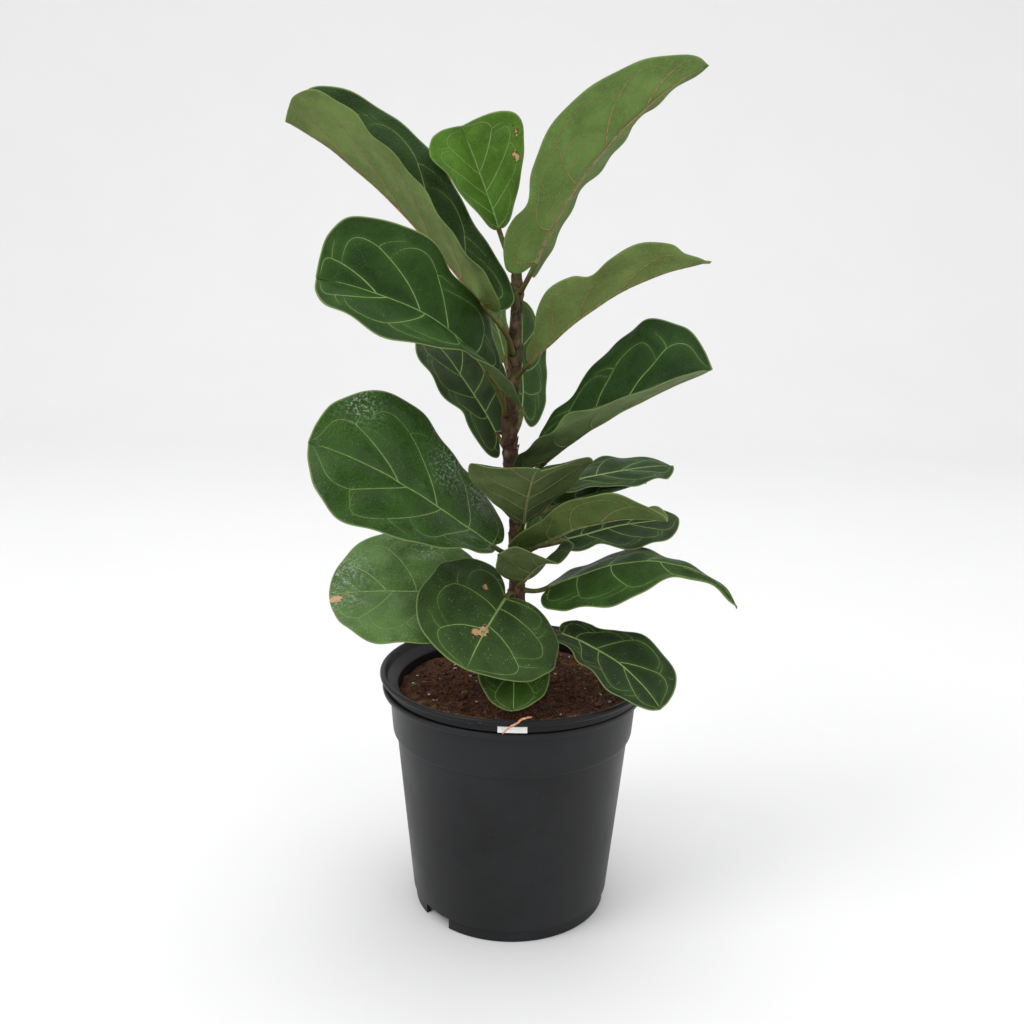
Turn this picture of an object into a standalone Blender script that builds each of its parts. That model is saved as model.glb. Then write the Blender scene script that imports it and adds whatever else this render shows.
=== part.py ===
"""Young fiddle leaf fig (Ficus lyrata) in two nested nursery pots.

The frame: +Z up, the origin on the pot's axis at the level of the surface that the pot stands on,
-Y towards the front. Everything is in metres; the tables below are in millimetres and degrees.
Every leaf is one closed solid, its stalk and its blade, bent from a flat outline along its midrib.
"""
import bmesh
import bpy
import numpy as np
from math import cos, pi, radians, sin

MM = 0.001
GAP = 0.3 * MM                    # clearance between pieces that touch

# Outer pot
POT_HEIGHT = 145.5 * MM           # to the top of its lip
POT_FOOT_RADIUS = 62.0 * MM
POT_BAND_RADIUS = 75.5 * MM       # lower edge of the wide top band
POT_NECK_RADIUS = 77.5 * MM       # upper edge of the band, under the lip
POT_LIP_RADIUS = 82.0 * MM
POT_LIP_HEIGHT = 4.5 * MM
POT_BAND_HEIGHT = 31.0 * MM       # from the step to the top of the lip
POT_STEP = 2.4 * MM               # how far the band stands out from the tapered wall
POT_WALL = 1.4 * MM
FOOT_HEIGHT = 8.0 * MM            # the floor is this far above the table
FOOT_WIDTH = 3.0 * MM
FOOT_INSET = 0.9 * MM
NOTCH_ANGLES = (-138.0, -2.0, 111.0)
NOTCH_WIDTH = 22.0 * MM
DRAIN_COUNT = 6
DRAIN_RADIUS = 4.0 * MM
DRAIN_CIRCLE = 40.0 * MM

# Inner pot, which hangs in the outer pot by its shoulder
INNER_SLACK = 0.6 * MM            # least room between the two walls
INNER_SHIFT = (1.2 * MM, -0.6 * MM)
INNER_FLOOR_RISE = 6.0 * MM       # above the outer pot's floor
COLLAR_RADIUS = 80.8 * MM
COLLAR_HEIGHT = 5.2 * MM
RING_RADIUS = 84.5 * MM
RING_HEIGHT = 3.6 * MM
RING_WIDTH = 3.0 * MM
INNER_WALL = 0.9 * MM

# Soil
SOIL_DEPTH_BELOW_RING = 13.0 * MM
SOIL_CROWN = 2.0 * MM             # how much higher the soil is at the stem
SOIL_ROUGHNESS = 0.8 * MM
SOCKET_DEPTH = 30.0 * MM          # how far the stem goes down into the soil

# Label and fibre on the inner pot's collar
LABEL_WIDTH = 16.5 * MM
LABEL_HEIGHT = 4.0 * MM
LABEL_THICKNESS = 0.4 * MM
LABEL_ANGLE = -91.0
FIBRE_RADIUS = 0.7 * MM

# Leaves
LEAF_THICKNESS = 1.2 * MM
LEAF_EDGE_SHARE = 0.7             # thickness at the margin, as a share of the middle
STALK_RADIUS = 1.6 * MM
STALK_FLARE = 1.25                # where the stalk meets the stem
RIB_SWEEP = 1.3                   # how far the side veins lean towards the tip

SEGMENTS = 64
STEM_SIDES = 14
SOIL_SEGMENTS = 40

# What follows from those sizes
FLOOR_TOP = FOOT_HEIGHT + POT_WALL
BAND_LOW = POT_HEIGHT - POT_BAND_HEIGHT
LIP_LOW = POT_HEIGHT - POT_LIP_HEIGHT
BODY_TOP_RADIUS = POT_BAND_RADIUS - POT_STEP
SHOULDER = POT_HEIGHT + GAP
RING_LOW = SHOULDER + COLLAR_HEIGHT
RING_TOP = RING_LOW + RING_HEIGHT
INNER_FLOOR = FLOOR_TOP + INNER_FLOOR_RISE
SOIL_TOP = RING_TOP - SOIL_DEPTH_BELOW_RING

# The stem: height above the soil, sideways offset and radius. Swellings are where leaves grew.
STEM = (
    (-30, 0.0, 5.6), (-4, 0.0, 5.6), (10, 0.0, 5.2), (30, 0.5, 5.0), (48, 1.0, 4.7), (57, 1.2, 5.3),
    (66, 1.2, 4.7), (80, 0.9, 4.6), (90, 0.8, 5.2), (97, 0.7, 4.5), (112, 0.5, 4.5), (130, -2.0, 4.3),
    (142, -3.6, 4.9), (152, -4.4, 4.3), (166, -5.0, 4.6), (176, -4.8, 5.0), (184, -4.2, 4.2),
    (200, -2.0, 3.8), (211, -2.2, 4.4), (220, -2.5, 3.6), (236, -1.8, 3.3), (245, -1.6, 3.9),
    (252, -2.0, 3.0), (266, -3.0, 3.2), (271, -3.3, 2.2),
)

# Half outlines of a flat leaf from the stalk round to the tip: share of length, share of half width
OUTLINES = {
    "fiddle": ((0, 0), (-0.05, 0.15), (-0.05, 0.36), (0.03, 0.55), (0.13, 0.60), (0.22, 0.58),
               (0.33, 0.78), (0.47, 0.97), (0.62, 1.0), (0.77, 0.92), (0.90, 0.64), (0.975, 0.28), (1, 0)),
    "broad": ((0, 0), (-0.06, 0.18), (-0.05, 0.42), (0.05, 0.62), (0.18, 0.70), (0.32, 0.80),
              (0.48, 0.93), (0.62, 1.0), (0.76, 0.97), (0.88, 0.82), (0.96, 0.56), (0.992, 0.26), (1, 0)),
    "blunt": ((0, 0), (-0.06, 0.18), (-0.05, 0.42), (0.05, 0.58), (0.18, 0.66), (0.32, 0.78),
              (0.48, 0.92), (0.64, 1.0), (0.80, 0.99), (0.92, 0.88), (0.985, 0.64), (0.998, 0.32), (1, 0)),
    "shouldered": ((0, 0), (-0.10, 0.20), (-0.11, 0.48), (0.01, 0.74), (0.14, 0.83), (0.26, 0.77),
                   (0.37, 0.78), (0.49, 0.91), (0.63, 1.0), (0.79, 0.98), (0.91, 0.86), (0.98, 0.58),
                   (0.998, 0.28), (1, 0)),
    "lobed": ((0, 0), (-0.18, 0.12), (-0.30, 0.36), (-0.22, 0.68), (0.02, 0.94), (0.28, 1.02),
              (0.52, 1.0), (0.74, 0.86), (0.90, 0.58), (0.98, 0.24), (1, 0)),
    "wedge": ((0, 0), (-0.01, 0.10), (0.04, 0.24), (0.16, 0.40), (0.32, 0.58), (0.48, 0.76),
              (0.64, 0.93), (0.78, 1.0), (0.90, 0.90), (0.975, 0.58), (0.998, 0.26), (1, 0)),
    "lyrate": ((0, 0), (-0.06, 0.20), (-0.06, 0.48), (0.03, 0.68), (0.12, 0.70), (0.20, 0.62),
               (0.30, 0.84), (0.42, 1.0), (0.55, 0.98), (0.68, 0.84), (0.80, 0.64), (0.90, 0.42),
               (0.97, 0.20), (1, 0)),
    "eared": ((0, 0), (-0.12, 0.10), (-0.20, 0.28), (-0.16, 0.50), (-0.02, 0.62), (0.12, 0.62),
              (0.22, 0.60), (0.33, 0.78), (0.47, 0.97), (0.62, 1.0), (0.77, 0.92), (0.90, 0.64),
              (0.975, 0.28), (1, 0)),
    "round": ((0, 0), (-0.10, 0.16), (-0.13, 0.42), (-0.02, 0.72), (0.18, 0.92), (0.40, 1.0),
              (0.60, 0.98), (0.78, 0.84), (0.91, 0.56), (0.98, 0.24), (1, 0)),
    "young": ((0, 0), (0.0, 0.10), (0.05, 0.26), (0.16, 0.44), (0.31, 0.66), (0.46, 0.88),
              (0.62, 1.0), (0.78, 0.92), (0.90, 0.62), (0.97, 0.26), (1, 0)),
    "notched": ((0, 0), (0.0, 0.12), (0.04, 0.30), (0.12, 0.44), (0.20, 0.74), (0.32, 1.0), (0.43, 0.90),
                (0.50, 0.70), (0.60, 0.82), (0.74, 0.84), (0.84, 0.62), (0.89, 0.32), (0.95, 0.14), (1, 0)),
    "tailed": ((0, 0), (-0.04, 0.20), (-0.02, 0.50), (0.08, 0.78), (0.22, 0.98), (0.36, 1.0),
               (0.48, 0.80), (0.58, 0.50), (0.67, 0.28), (0.80, 0.17), (0.93, 0.10), (1, 0)),
}

# One row per leaf, in mm and degrees.
#   at       height above the soil where its stalk leaves the stem
#   stalk    length, compass direction, elevation
#   blade    length, half width
#   turn, rise, roll   direction, elevation and sideways tilt at the blade's foot, middle and tip
#   fold     how far the left and right halves stand up from flat;  curl  how much more at the margin
#   wave     height, number and phase of the margin's waves
LEAVES = {
    "leaf_01": dict(at=208, stalk=(36, 252, 58), blade=(155, 41), turn=(162, 168, 184), rise=(46, 43, 27),
                    roll=(-4, -8, -14), fold=(48, 48), wave=(1.5, 2.5, 0), outline=("blunt", "blunt")),
    "leaf_02": dict(at=262, stalk=(19, 170, 66), blade=(61, 33), turn=(165, 162, 160), rise=(70, 68, 62),
                    roll=(-52, -52, -52), fold=(24, 24), curl=(14, 10), wave=(1.0, 2, 1), outline=("wedge", "wedge")),
    "leaf_03": dict(at=244, stalk=(20, -60, 45), blade=(144, 31), turn=(-30, -12, 16), rise=(64, 50, 26),
                    roll=(-20, -32, -48), fold=(32, 32), wave=(1.5, 2.5, 2), outline=("lyrate", "lyrate")),
    "leaf_04": dict(at=195, stalk=(14, -60, 38), blade=(121, 24), turn=(-36, -20, 4), rise=(42, 32, 6),
                    roll=(-22, -22, -22), fold=(45, 45), wave=(1.0, 3, 1), outline=("notched", "notched")),
    "leaf_05": dict(at=172, stalk=(36, -115, 60), blade=(116, 41), turn=(-130, -150, -185), rise=(46, 26, 8),
                    roll=(-42, -50, -50), fold=(24, 24), wave=(1.5, 2.5, 0), outline=("eared", "shouldered")),
    "leaf_06": dict(at=133, stalk=(24, -40, 30), blade=(119, 48), turn=(-42, -33, -12), rise=(38, 31, 24),
                    roll=(26, 26, 26), fold=(31, 31), wave=(1.5, 2.5, 1), outline=("broad", "broad")),
    "leaf_07": dict(at=150, stalk=(14, 120, 30), blade=(84, 30), turn=(134, 138, 142), rise=(48, 43, 33),
                    roll=(-15, -10, 0), fold=(15, 15), wave=(1.0, 2, 0), outline=("eared", "fiddle")),
    "leaf_08": dict(at=190, stalk=(20, 108, 55), blade=(114, 13), turn=(107, 111, 114), rise=(44, 34, 24),
                    roll=(0, 0, 0), fold=(30, 30), wave=(1.0, 2, 0), outline=("fiddle", "fiddle")),
    "leaf_09": dict(at=159, stalk=(22, 60, 36), blade=(85, 19), turn=(88, 92, 88), rise=(45, 48, 50),
                    roll=(50, 50, 50), fold=(20, 20), wave=(1.0, 2, 0), outline=("round", "round")),
    "leaf_10": dict(at=86, stalk=(16, -135, 25), blade=(130, 47), turn=(-148, -160, -182), rise=(36, 34, 16),
                    roll=(-40, -46, -50), fold=(12, 12), wave=(1.5, 2, 0), outline=("young", "broad")),
    "leaf_11": dict(at=57, stalk=(26, -165, 12), blade=(84, 45), turn=(-168, -172, -176), rise=(8, 2, -6),
                    roll=(-30, -31, -31), fold=(6, 6), wave=(1.5, 2, 2), outline=("round", "round")),
    "leaf_12": dict(at=62, stalk=(14, -112, 25), blade=(60, 45), turn=(-111, -114, -117), rise=(-18, -26, -44),
                    roll=(-32, -32, -32), fold=(4, 4), curl=(-8, -8), wave=(1.0, 2, 0),
                    outline=("round", "lobed")),
    "leaf_13": dict(at=37, stalk=(14, -92, -30), blade=(49, 21), turn=(-90, -90, -90), rise=(-18, -26, -48),
                    roll=(0, 0, 0), fold=(4, 4), wave=(1.0, 2, 0), outline=("round", "round")),
    "leaf_14": dict(at=44, stalk=(27, -24, -10), blade=(81, 26), turn=(-35, -42, -50), rise=(-6, -18, -42),
                    roll=(14, 14, 14), fold=(10, 16), wave=(1.5, 2.5, 0), outline=("fiddle", "fiddle")),
    "leaf_15": dict(at=64, stalk=(18, -32, 0), blade=(127, 30), turn=(-23, -12, -6), rise=(28, 5, -62),
                    roll=(18, 18, 18), fold=(-15, -15), wave=(1.5, 2.5, 0), outline=("tailed", "tailed")),
    "leaf_16": dict(at=90, stalk=(26, 0, 8), blade=(74, 24), turn=(12, 16, 10), rise=(14, 8, 0),
                    roll=(18, 18, 18), fold=(-2, -2), wave=(1.5, 2, 0), outline=("fiddle", "fiddle")),
    "leaf_17": dict(at=88, stalk=(20, -66, 18), blade=(98, 22), turn=(-52, -42, -26), rise=(31, 21, 0),
                    roll=(-18, -18, -18), fold=(30, 30), wave=(1.5, 2, 0), outline=("eared", "eared")),
    "leaf_18": dict(at=102, stalk=(12, -70, 30), blade=(84, 36), turn=(-84, -84, -82), rise=(48, 36, 8),
                    roll=(0, 0, 0), fold=(14, 6), wave=(1.5, 2, 0), outline=("young", "young")),
    "leaf_19": dict(at=121, stalk=(28, 25, 12), blade=(84, 20), turn=(32, 28, 18), rise=(10, 4, 0),
                    roll=(14, 14, 14), fold=(0, 0), wave=(1.5, 2, 0), outline=("fiddle", "fiddle")),
    "leaf_20": dict(at=107, stalk=(28, 32, 14), blade=(62, 13), turn=(32, 24, 14), rise=(12, 10, 4),
                    roll=(10, 10, 10), fold=(20, 20), wave=(1.0, 2, 0), outline=("round", "round")),
    "leaf_21": dict(at=67, stalk=(13, -74, 30), blade=(46, 24), turn=(-70, -62, -52), rise=(38, 30, 0),
                    roll=(0, 0, 0), fold=(20, 20), curl=(20, 20), wave=(1.5, 2, 0), outline=("round", "round")),
    "leaf_22": dict(at=83, stalk=(22, 46, 22), blade=(60, 17), turn=(56, 48, 38), rise=(30, 24, 14),
                    roll=(10, 10, 10), fold=(12, 12), wave=(1.0, 2, 0), outline=("round", "round")),
}

MIDRIB_STEPS = 40
STALK_STEPS = 12
STALK_RINGS = 4
RIB_SHARES = (0.05, 0.12, 0.20, 0.29, 0.38, 0.47, 0.56, 0.65, 0.74, 0.82, 0.89, 0.95)
ACROSS = (1.0, 0.5, 0.0, -0.5, -1.0)


def heading(turn, rise):
    """Unit vector for a compass direction and an elevation, in radians."""
    return np.array([cos(rise) * cos(turn), cos(rise) * sin(turn), sin(rise)])


def through_three(values, share):
    """Smooth value at a share 0..1, through values given at 0, one half and 1."""
    a, b, c = values
    return a * (1 - share) * (1 - 2 * share) + 4 * b * share * (1 - share) + c * share * (2 * share - 1)


def smooth_outline(name, count=200):
    """Points evenly spaced along the Catmull-Rom curve through a half outline."""
    knots = np.array(OUTLINES[name], float)
    knots = np.vstack([2 * knots[0] - knots[1], knots, 2 * knots[-1] - knots[-2]])
    points = []
    for a, b, c, d in zip(knots, knots[1:], knots[2:], knots[3:]):
        for t in np.arange(24) / 24:
            points.append(0.5 * (2 * b + (c - a) * t + (2 * a - 5 * b + 4 * c - d) * t ** 2
                                 + (3 * b - a - 3 * c + d) * t ** 3))
    points.append(knots[-2])
    points = np.array(points)
    along = np.r_[0, np.cumsum(np.hypot(*np.diff(points, axis=0).T))]
    share = np.linspace(0, 1, count) * along[-1]
    return np.stack([np.interp(share, along, points[:, 0]), np.interp(share, along, points[:, 1])], -1)


def stem_at(height):
    """Centre and radius of the stem at a height above the soil, in metres."""
    table = np.array(STEM, float)
    x = np.interp(height, table[:, 0], table[:, 1]) * MM
    radius = np.interp(height, table[:, 0], table[:, 2]) * MM
    return np.array([x, 0.0, SOIL_TOP + height * MM]), radius


class Leaf:
    """A flat leaf bent into place: stalk centre line, midrib frame, and a map from flat to bent."""

    def __init__(self, at, stalk, blade, turn, rise, roll, fold, wave, outline, curl=(0, 0)):
        self.length, self.half_width = blade[0] * MM, blade[1] * MM
        self.fold = np.radians(fold)
        self.curl = np.radians(curl)
        self.wave = wave
        self.outlines = [smooth_outline(name) for name in outline]
        stalk_turn, stalk_rise = radians(stalk[1]), radians(stalk[2])
        centre, radius = stem_at(at)
        self.stalk = [centre + heading(stalk_turn, 0) * (radius + GAP)]
        for i in range(STALK_STEPS):
            self.stalk.append(self.stalk[-1] + self.stalk_heading(stalk_turn, stalk_rise, turn, rise,
                                                                  (i + 0.5) / STALK_STEPS)
                              * stalk[0] * MM / STALK_STEPS)
        self.stalk_dirs = [self.stalk_heading(stalk_turn, stalk_rise, turn, rise, i / STALK_STEPS)
                           for i in range(STALK_STEPS + 1)]
        self.stalk_dirs[0] = heading(stalk_turn, 0)
        midrib, along, left, up = [self.stalk[-1]], [], [], []
        for i in range(MIDRIB_STEPS + 1):
            share = i / MIDRIB_STEPS
            t, e, r = (radians(through_three(v, share)) for v in (turn, rise, roll))
            forward = heading(t, e)
            level = np.array([-sin(t), cos(t), 0.0])
            above = np.cross(forward, level)
            along.append(forward)
            left.append(cos(r) * level + sin(r) * above)
            up.append(cos(r) * above - sin(r) * level)
            if i < MIDRIB_STEPS:
                half = share + 0.5 / MIDRIB_STEPS
                step = heading(radians(through_three(turn, half)), radians(through_three(rise, half)))
                midrib.append(midrib[-1] + step * self.length / MIDRIB_STEPS)
        self.midrib, self.along, self.left, self.up = map(np.array, (midrib, along, left, up))

    @staticmethod
    def stalk_heading(stalk_turn, stalk_rise, turn, rise, share):
        """The stalk swings from its own direction to the blade's."""
        ease = share * share * (3 - 2 * share)
        return heading(stalk_turn + (radians(turn[0]) - stalk_turn) * ease,
                       stalk_rise + (radians(rise[0]) - stalk_rise) * ease)

    def flat(self, share, across):
        """Flat place of a point on the side vein that ends at a share of the margin."""
        grid = np.linspace(0, 1, len(self.outlines[0]))
        margin = [[np.interp(share, grid, line[:, k]) for k in (0, 1)] for line in self.outlines]
        on_left = across >= 0
        edge_x = np.where(on_left, margin[0][0], margin[1][0]) * self.length
        edge_y = np.where(on_left, margin[0][1], margin[1][1]) * self.half_width
        root = share ** RIB_SWEEP * self.length
        out = np.abs(across)
        return root + (edge_x - root) * out, np.sign(across) * edge_y * out

    def bend(self, x, y):
        """World points and unit normals for flat places: x along the midrib, y to the left."""
        place = np.clip(x / self.length, 0, 1) * MIDRIB_STEPS
        low = np.minimum(place.astype(int), MIDRIB_STEPS - 1)
        part = (place - low)[:, None]
        rib, forward, left, up = (a[low] * (1 - part) + a[low + 1] * part
                                  for a in (self.midrib, self.along, self.left, self.up))
        rib = rib + forward * np.minimum(x, 0)[:, None]
        side = np.where(y >= 0, 1.0, -1.0)
        width = np.abs(y)
        fold = np.where(y >= 0, self.fold[0], self.fold[1])
        rate = np.where(y >= 0, self.curl[0], self.curl[1]) / self.half_width
        rate = np.where(np.abs(rate) < 1e-6, 1e-6, rate)
        angle = fold + rate * width
        out = (np.sin(angle) - np.sin(fold)) / rate
        lift = (np.cos(fold) - np.cos(angle)) / rate
        height, count, phase = self.wave
        ripple = height * MM * np.sin(2 * pi * count * x / self.length + phase + 0.9 * side)
        ripple = ripple * (width / self.half_width) ** 2
        normal = up * np.cos(angle)[:, None] - left * (side * np.sin(angle))[:, None]
        points = rib + left * (side * out)[:, None] + up * lift[:, None] + normal * ripple[:, None]
        return points, normal


def add_object(name, bm, colour, roughness, smooth=True):
    """Put a closed bmesh into the scene with a material of its own."""
    bm.normal_update()
    bmesh.ops.recalc_face_normals(bm, faces=bm.faces)
    mesh = bpy.data.meshes.new(name)
    bm.to_mesh(mesh)
    bm.free()
    if smooth:
        mesh.shade_smooth()
        mesh.set_sharp_from_angle(angle=radians(40))
    material = bpy.data.materials.new(name)
    material.use_nodes = True
    shader = material.node_tree.nodes["Principled BSDF"]
    shader.inputs["Base Color"].default_value = (*colour, 1.0)
    shader.inputs["Roughness"].default_value = roughness
    mesh.materials.append(material)
    obj = bpy.data.objects.new(name, mesh)
    bpy.context.scene.collection.objects.link(obj)
    return obj


def loft(loops, start, end):
    """Closed solid through loops of points, closed to one point at each end."""
    bm = bmesh.new()
    rings = [[bm.verts.new(point) for point in loop] for loop in loops]
    count = len(rings[0])
    for lower, upper in zip(rings, rings[1:]):
        for i in range(count):
            j = (i + 1) % count
            bm.faces.new((lower[i], lower[j], upper[j], upper[i]))
    for ring, tip in ((rings[0], start), (rings[-1], end)):
        centre = bm.verts.new(tip)
        for i in range(count):
            bm.faces.new((ring[i], ring[(i + 1) % count], centre))
    return bm


def turn_ring(profile, segments=SEGMENTS, centre=(0.0, 0.0)):
    """Solid of revolution of a closed profile (radius, height) with a hole along the axis."""
    bm = bmesh.new()
    rings = []
    for radius, height in profile:
        angles = [2 * pi * i / segments for i in range(segments)]
        rings.append([bm.verts.new((centre[0] + radius * cos(a), centre[1] + radius * sin(a), height))
                      for a in angles])
    for lower, upper in zip(rings, rings[1:] + rings[:1]):
        for i in range(segments):
            j = (i + 1) % segments
            bm.faces.new((lower[i], lower[j], upper[j], upper[i]))
    return bm


def turn_solid(profile, segments, centre):
    """Solid of revolution of a profile (radius, height) that starts and ends on the axis."""
    loops = []
    for radius, height in profile[1:-1]:
        angles = [2 * pi * i / segments for i in range(segments)]
        loops.append([(centre[0] + radius * cos(a), centre[1] + radius * sin(a), height) for a in angles])
    return loft(loops, (*centre, profile[0][1]), (*centre, profile[-1][1]))


def ring_of(centre, direction, sideways, radius, angles):
    """Points round a circle that is square to a direction."""
    across = sideways - direction * (sideways @ direction)
    across /= np.linalg.norm(across)
    above = np.cross(direction, across)
    return [centre + (across * cos(a) + above * sin(a)) * radius for a in angles]


def cut(obj, cutters):
    """Take the cutters' shapes out of an object; the cutters stay in the file, hidden."""
    for cutter in cutters:
        cutter.hide_render = True
        cutter.display_type = "WIRE"
        modifier = obj.modifiers.new("cut", "BOOLEAN")
        modifier.operation = "DIFFERENCE"
        modifier.solver = "EXACT"
        modifier.object = cutter


def box_cutter(name, length, width, low, high, angle):
    """A box from the axis outwards, at a compass direction in degrees."""
    bm = bmesh.new()
    bmesh.ops.create_cube(bm, size=1.0)
    for vert in bm.verts:
        x = length[0] + (vert.co.x + 0.5) * (length[1] - length[0])
        y = vert.co.y * width
        z = low + (vert.co.z + 0.5) * (high - low)
        a = radians(angle)
        vert.co = (x * cos(a) - y * sin(a), x * sin(a) + y * cos(a), z)
    return add_object(name, bm, (1, 0, 0), 0.5, smooth=False)


def drain_cutters(name, floor_low, floor_high, circle, centre=(0.0, 0.0)):
    """Round cutters for the ring of drain holes."""
    cutters = []
    for i in range(DRAIN_COUNT):
        angle = 2 * pi * (i + 0.37) / DRAIN_COUNT
        x, y = circle * cos(angle), circle * sin(angle)
        profile = ((0, floor_low), (DRAIN_RADIUS, floor_low), (DRAIN_RADIUS, floor_high), (0, floor_high))
        bm = turn_solid(profile, 16, (centre[0] + x, centre[1] + y))
        cutters.append(add_object(f"{name}_{i}", bm, (1, 0, 0), 0.5))
    return cutters


def body_radius(height):
    """Outer radius of the outer pot's tapered wall."""
    return np.interp(height, (0.0, BAND_LOW), (POT_FOOT_RADIUS, BODY_TOP_RADIUS))


def make_outer_pot():
    foot = POT_FOOT_RADIUS - FOOT_INSET
    profile = (
        (DRAIN_RADIUS, FOOT_HEIGHT), (foot - FOOT_WIDTH, FOOT_HEIGHT), (foot - FOOT_WIDTH, 0), (foot, 0),
        (foot, FOOT_HEIGHT - 0.6 * MM), (body_radius(FOOT_HEIGHT), FOOT_HEIGHT + 0.4 * MM),
        (BODY_TOP_RADIUS, BAND_LOW), (POT_BAND_RADIUS - 0.4 * MM, BAND_LOW + 0.8 * MM),
        (POT_BAND_RADIUS, BAND_LOW + 2.4 * MM), (POT_NECK_RADIUS, LIP_LOW),
        (POT_LIP_RADIUS - 0.6 * MM, LIP_LOW + 0.8 * MM), (POT_LIP_RADIUS, POT_HEIGHT - 1.0 * MM),
        (POT_LIP_RADIUS - 0.8 * MM, POT_HEIGHT), (POT_NECK_RADIUS - 0.2 * MM, POT_HEIGHT - 0.6 * MM),
        (POT_NECK_RADIUS - POT_WALL, LIP_LOW - 0.8 * MM), (POT_BAND_RADIUS - POT_WALL, BAND_LOW + 2.8 * MM),
        (BODY_TOP_RADIUS - POT_WALL, BAND_LOW), (body_radius(FLOOR_TOP) - POT_WALL, FLOOR_TOP),
        (DRAIN_RADIUS, FLOOR_TOP),
    )
    pot = add_object("outer_pot", turn_ring(profile), (0.035, 0.035, 0.038), 0.5)
    cutters = [box_cutter(f"notch_{i}", (foot - 3 * FOOT_WIDTH, foot + FOOT_WIDTH), NOTCH_WIDTH,
                          -1.0 * MM, FOOT_HEIGHT - 1.4 * MM, angle)
               for i, angle in enumerate(NOTCH_ANGLES)]
    cut(pot, cutters + drain_cutters("outer_drain", FOOT_HEIGHT - MM, FLOOR_TOP + MM, DRAIN_CIRCLE))


def inner_radius(height):
    """Outer radius of the inner pot's wall, which follows the outer pot's inside."""
    outside = np.interp(height, (0.0, BAND_LOW, BAND_LOW + 3.0 * MM, LIP_LOW, POT_HEIGHT),
                        (POT_FOOT_RADIUS, BODY_TOP_RADIUS, POT_BAND_RADIUS, POT_NECK_RADIUS, POT_NECK_RADIUS))
    return outside - POT_WALL - INNER_SLACK - np.hypot(*INNER_SHIFT)


def make_inner_pot():
    ring_in = RING_RADIUS - RING_WIDTH
    above_band = BAND_LOW + 4.0 * MM
    profile = (
        (DRAIN_RADIUS, INNER_FLOOR), (inner_radius(INNER_FLOOR), INNER_FLOOR),
        (inner_radius(BAND_LOW), BAND_LOW), (inner_radius(above_band), above_band),
        (inner_radius(LIP_LOW), LIP_LOW), (inner_radius(SHOULDER), SHOULDER),
        (COLLAR_RADIUS, SHOULDER + 0.5 * MM), (COLLAR_RADIUS, RING_LOW), (RING_RADIUS - 0.9 * MM, RING_LOW),
        (RING_RADIUS, RING_LOW + 1.0 * MM), (RING_RADIUS, RING_TOP - 1.0 * MM),
        (RING_RADIUS - 0.9 * MM, RING_TOP), (ring_in + 0.8 * MM, RING_TOP), (ring_in, RING_TOP - 0.8 * MM),
        (ring_in - 1.8 * MM, SHOULDER + 4.0 * MM), (inner_radius(SHOULDER) + 1.2 * MM, SHOULDER + 1.6 * MM),
        (inner_radius(SHOULDER) - INNER_WALL, SHOULDER), (inner_radius(LIP_LOW) - INNER_WALL, LIP_LOW),
        (inner_radius(above_band) - INNER_WALL, above_band),
        (inner_radius(BAND_LOW) - INNER_WALL, BAND_LOW),
        (inner_radius(INNER_FLOOR) - INNER_WALL, INNER_FLOOR + INNER_WALL),
        (DRAIN_RADIUS, INNER_FLOOR + INNER_WALL),
    )
    pot = add_object("inner_pot", turn_ring(profile, centre=INNER_SHIFT), (0.03, 0.03, 0.033), 0.45)
    cut(pot, drain_cutters("inner_drain", INNER_FLOOR - MM, INNER_FLOOR + INNER_WALL + MM,
                           DRAIN_CIRCLE, INNER_SHIFT))


def make_soil():
    """The root ball, with a socket for the stem and an uneven top."""
    base = INNER_FLOOR + INNER_WALL + GAP
    room = INNER_WALL + GAP + 0.1 * MM
    _, stem_radius = stem_at(-SOCKET_DEPTH / MM)
    socket = stem_radius + GAP
    reach = inner_radius(SOIL_TOP - 2.0 * MM) - room
    heights = (base, BAND_LOW, BAND_LOW + 4.0 * MM, SOIL_TOP - 2.0 * MM)
    profile = [(inner_radius(height) - room, height) for height in heights]
    for share in (0.98, 0.8, 0.6, 0.4, 0.2, 0.0):
        profile.append((socket + (reach - socket) * share, SOIL_TOP + SOIL_CROWN * (1 - share) ** 2))
    profile.append((socket, SOIL_TOP - SOCKET_DEPTH - GAP))
    noise = np.random.default_rng(7).normal(0, SOIL_ROUGHNESS, (len(profile), SOIL_SEGMENTS))
    noise = np.clip(noise, -2 * SOIL_ROUGHNESS, 2 * SOIL_ROUGHNESS)
    noise[:len(heights)] = 0
    noise[-2:] = 0
    loops = []
    for (radius, height), lifts in zip(profile, noise):
        share = 1.0 if height in heights else (radius - socket) / (reach - socket)
        loops.append([(INNER_SHIFT[0] * share + radius * cos(2 * pi * i / SOIL_SEGMENTS),
                       INNER_SHIFT[1] * share + radius * sin(2 * pi * i / SOIL_SEGMENTS), height + lift)
                      for i, lift in enumerate(lifts)])
    bm = loft(loops, (*INNER_SHIFT, base), (0, 0, profile[-1][1]))
    add_object("soil", bm, (0.09, 0.04, 0.02), 0.95, smooth=False)


def make_stem():
    angles = [2 * pi * i / STEM_SIDES for i in range(STEM_SIDES)]
    loops = []
    for height, _, _ in STEM:
        centre, radius = stem_at(height)
        loops.append(ring_of(centre, np.array([0, 0, 1.0]), np.array([1.0, 0, 0]), radius, angles))
    low, _ = stem_at(STEM[0][0])
    top, _ = stem_at(STEM[-1][0])
    top = top + np.array([0, 0, 1.6 * MM])
    add_object("stem", loft(loops, low, top), (0.12, 0.05, 0.035), 0.8)


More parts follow.
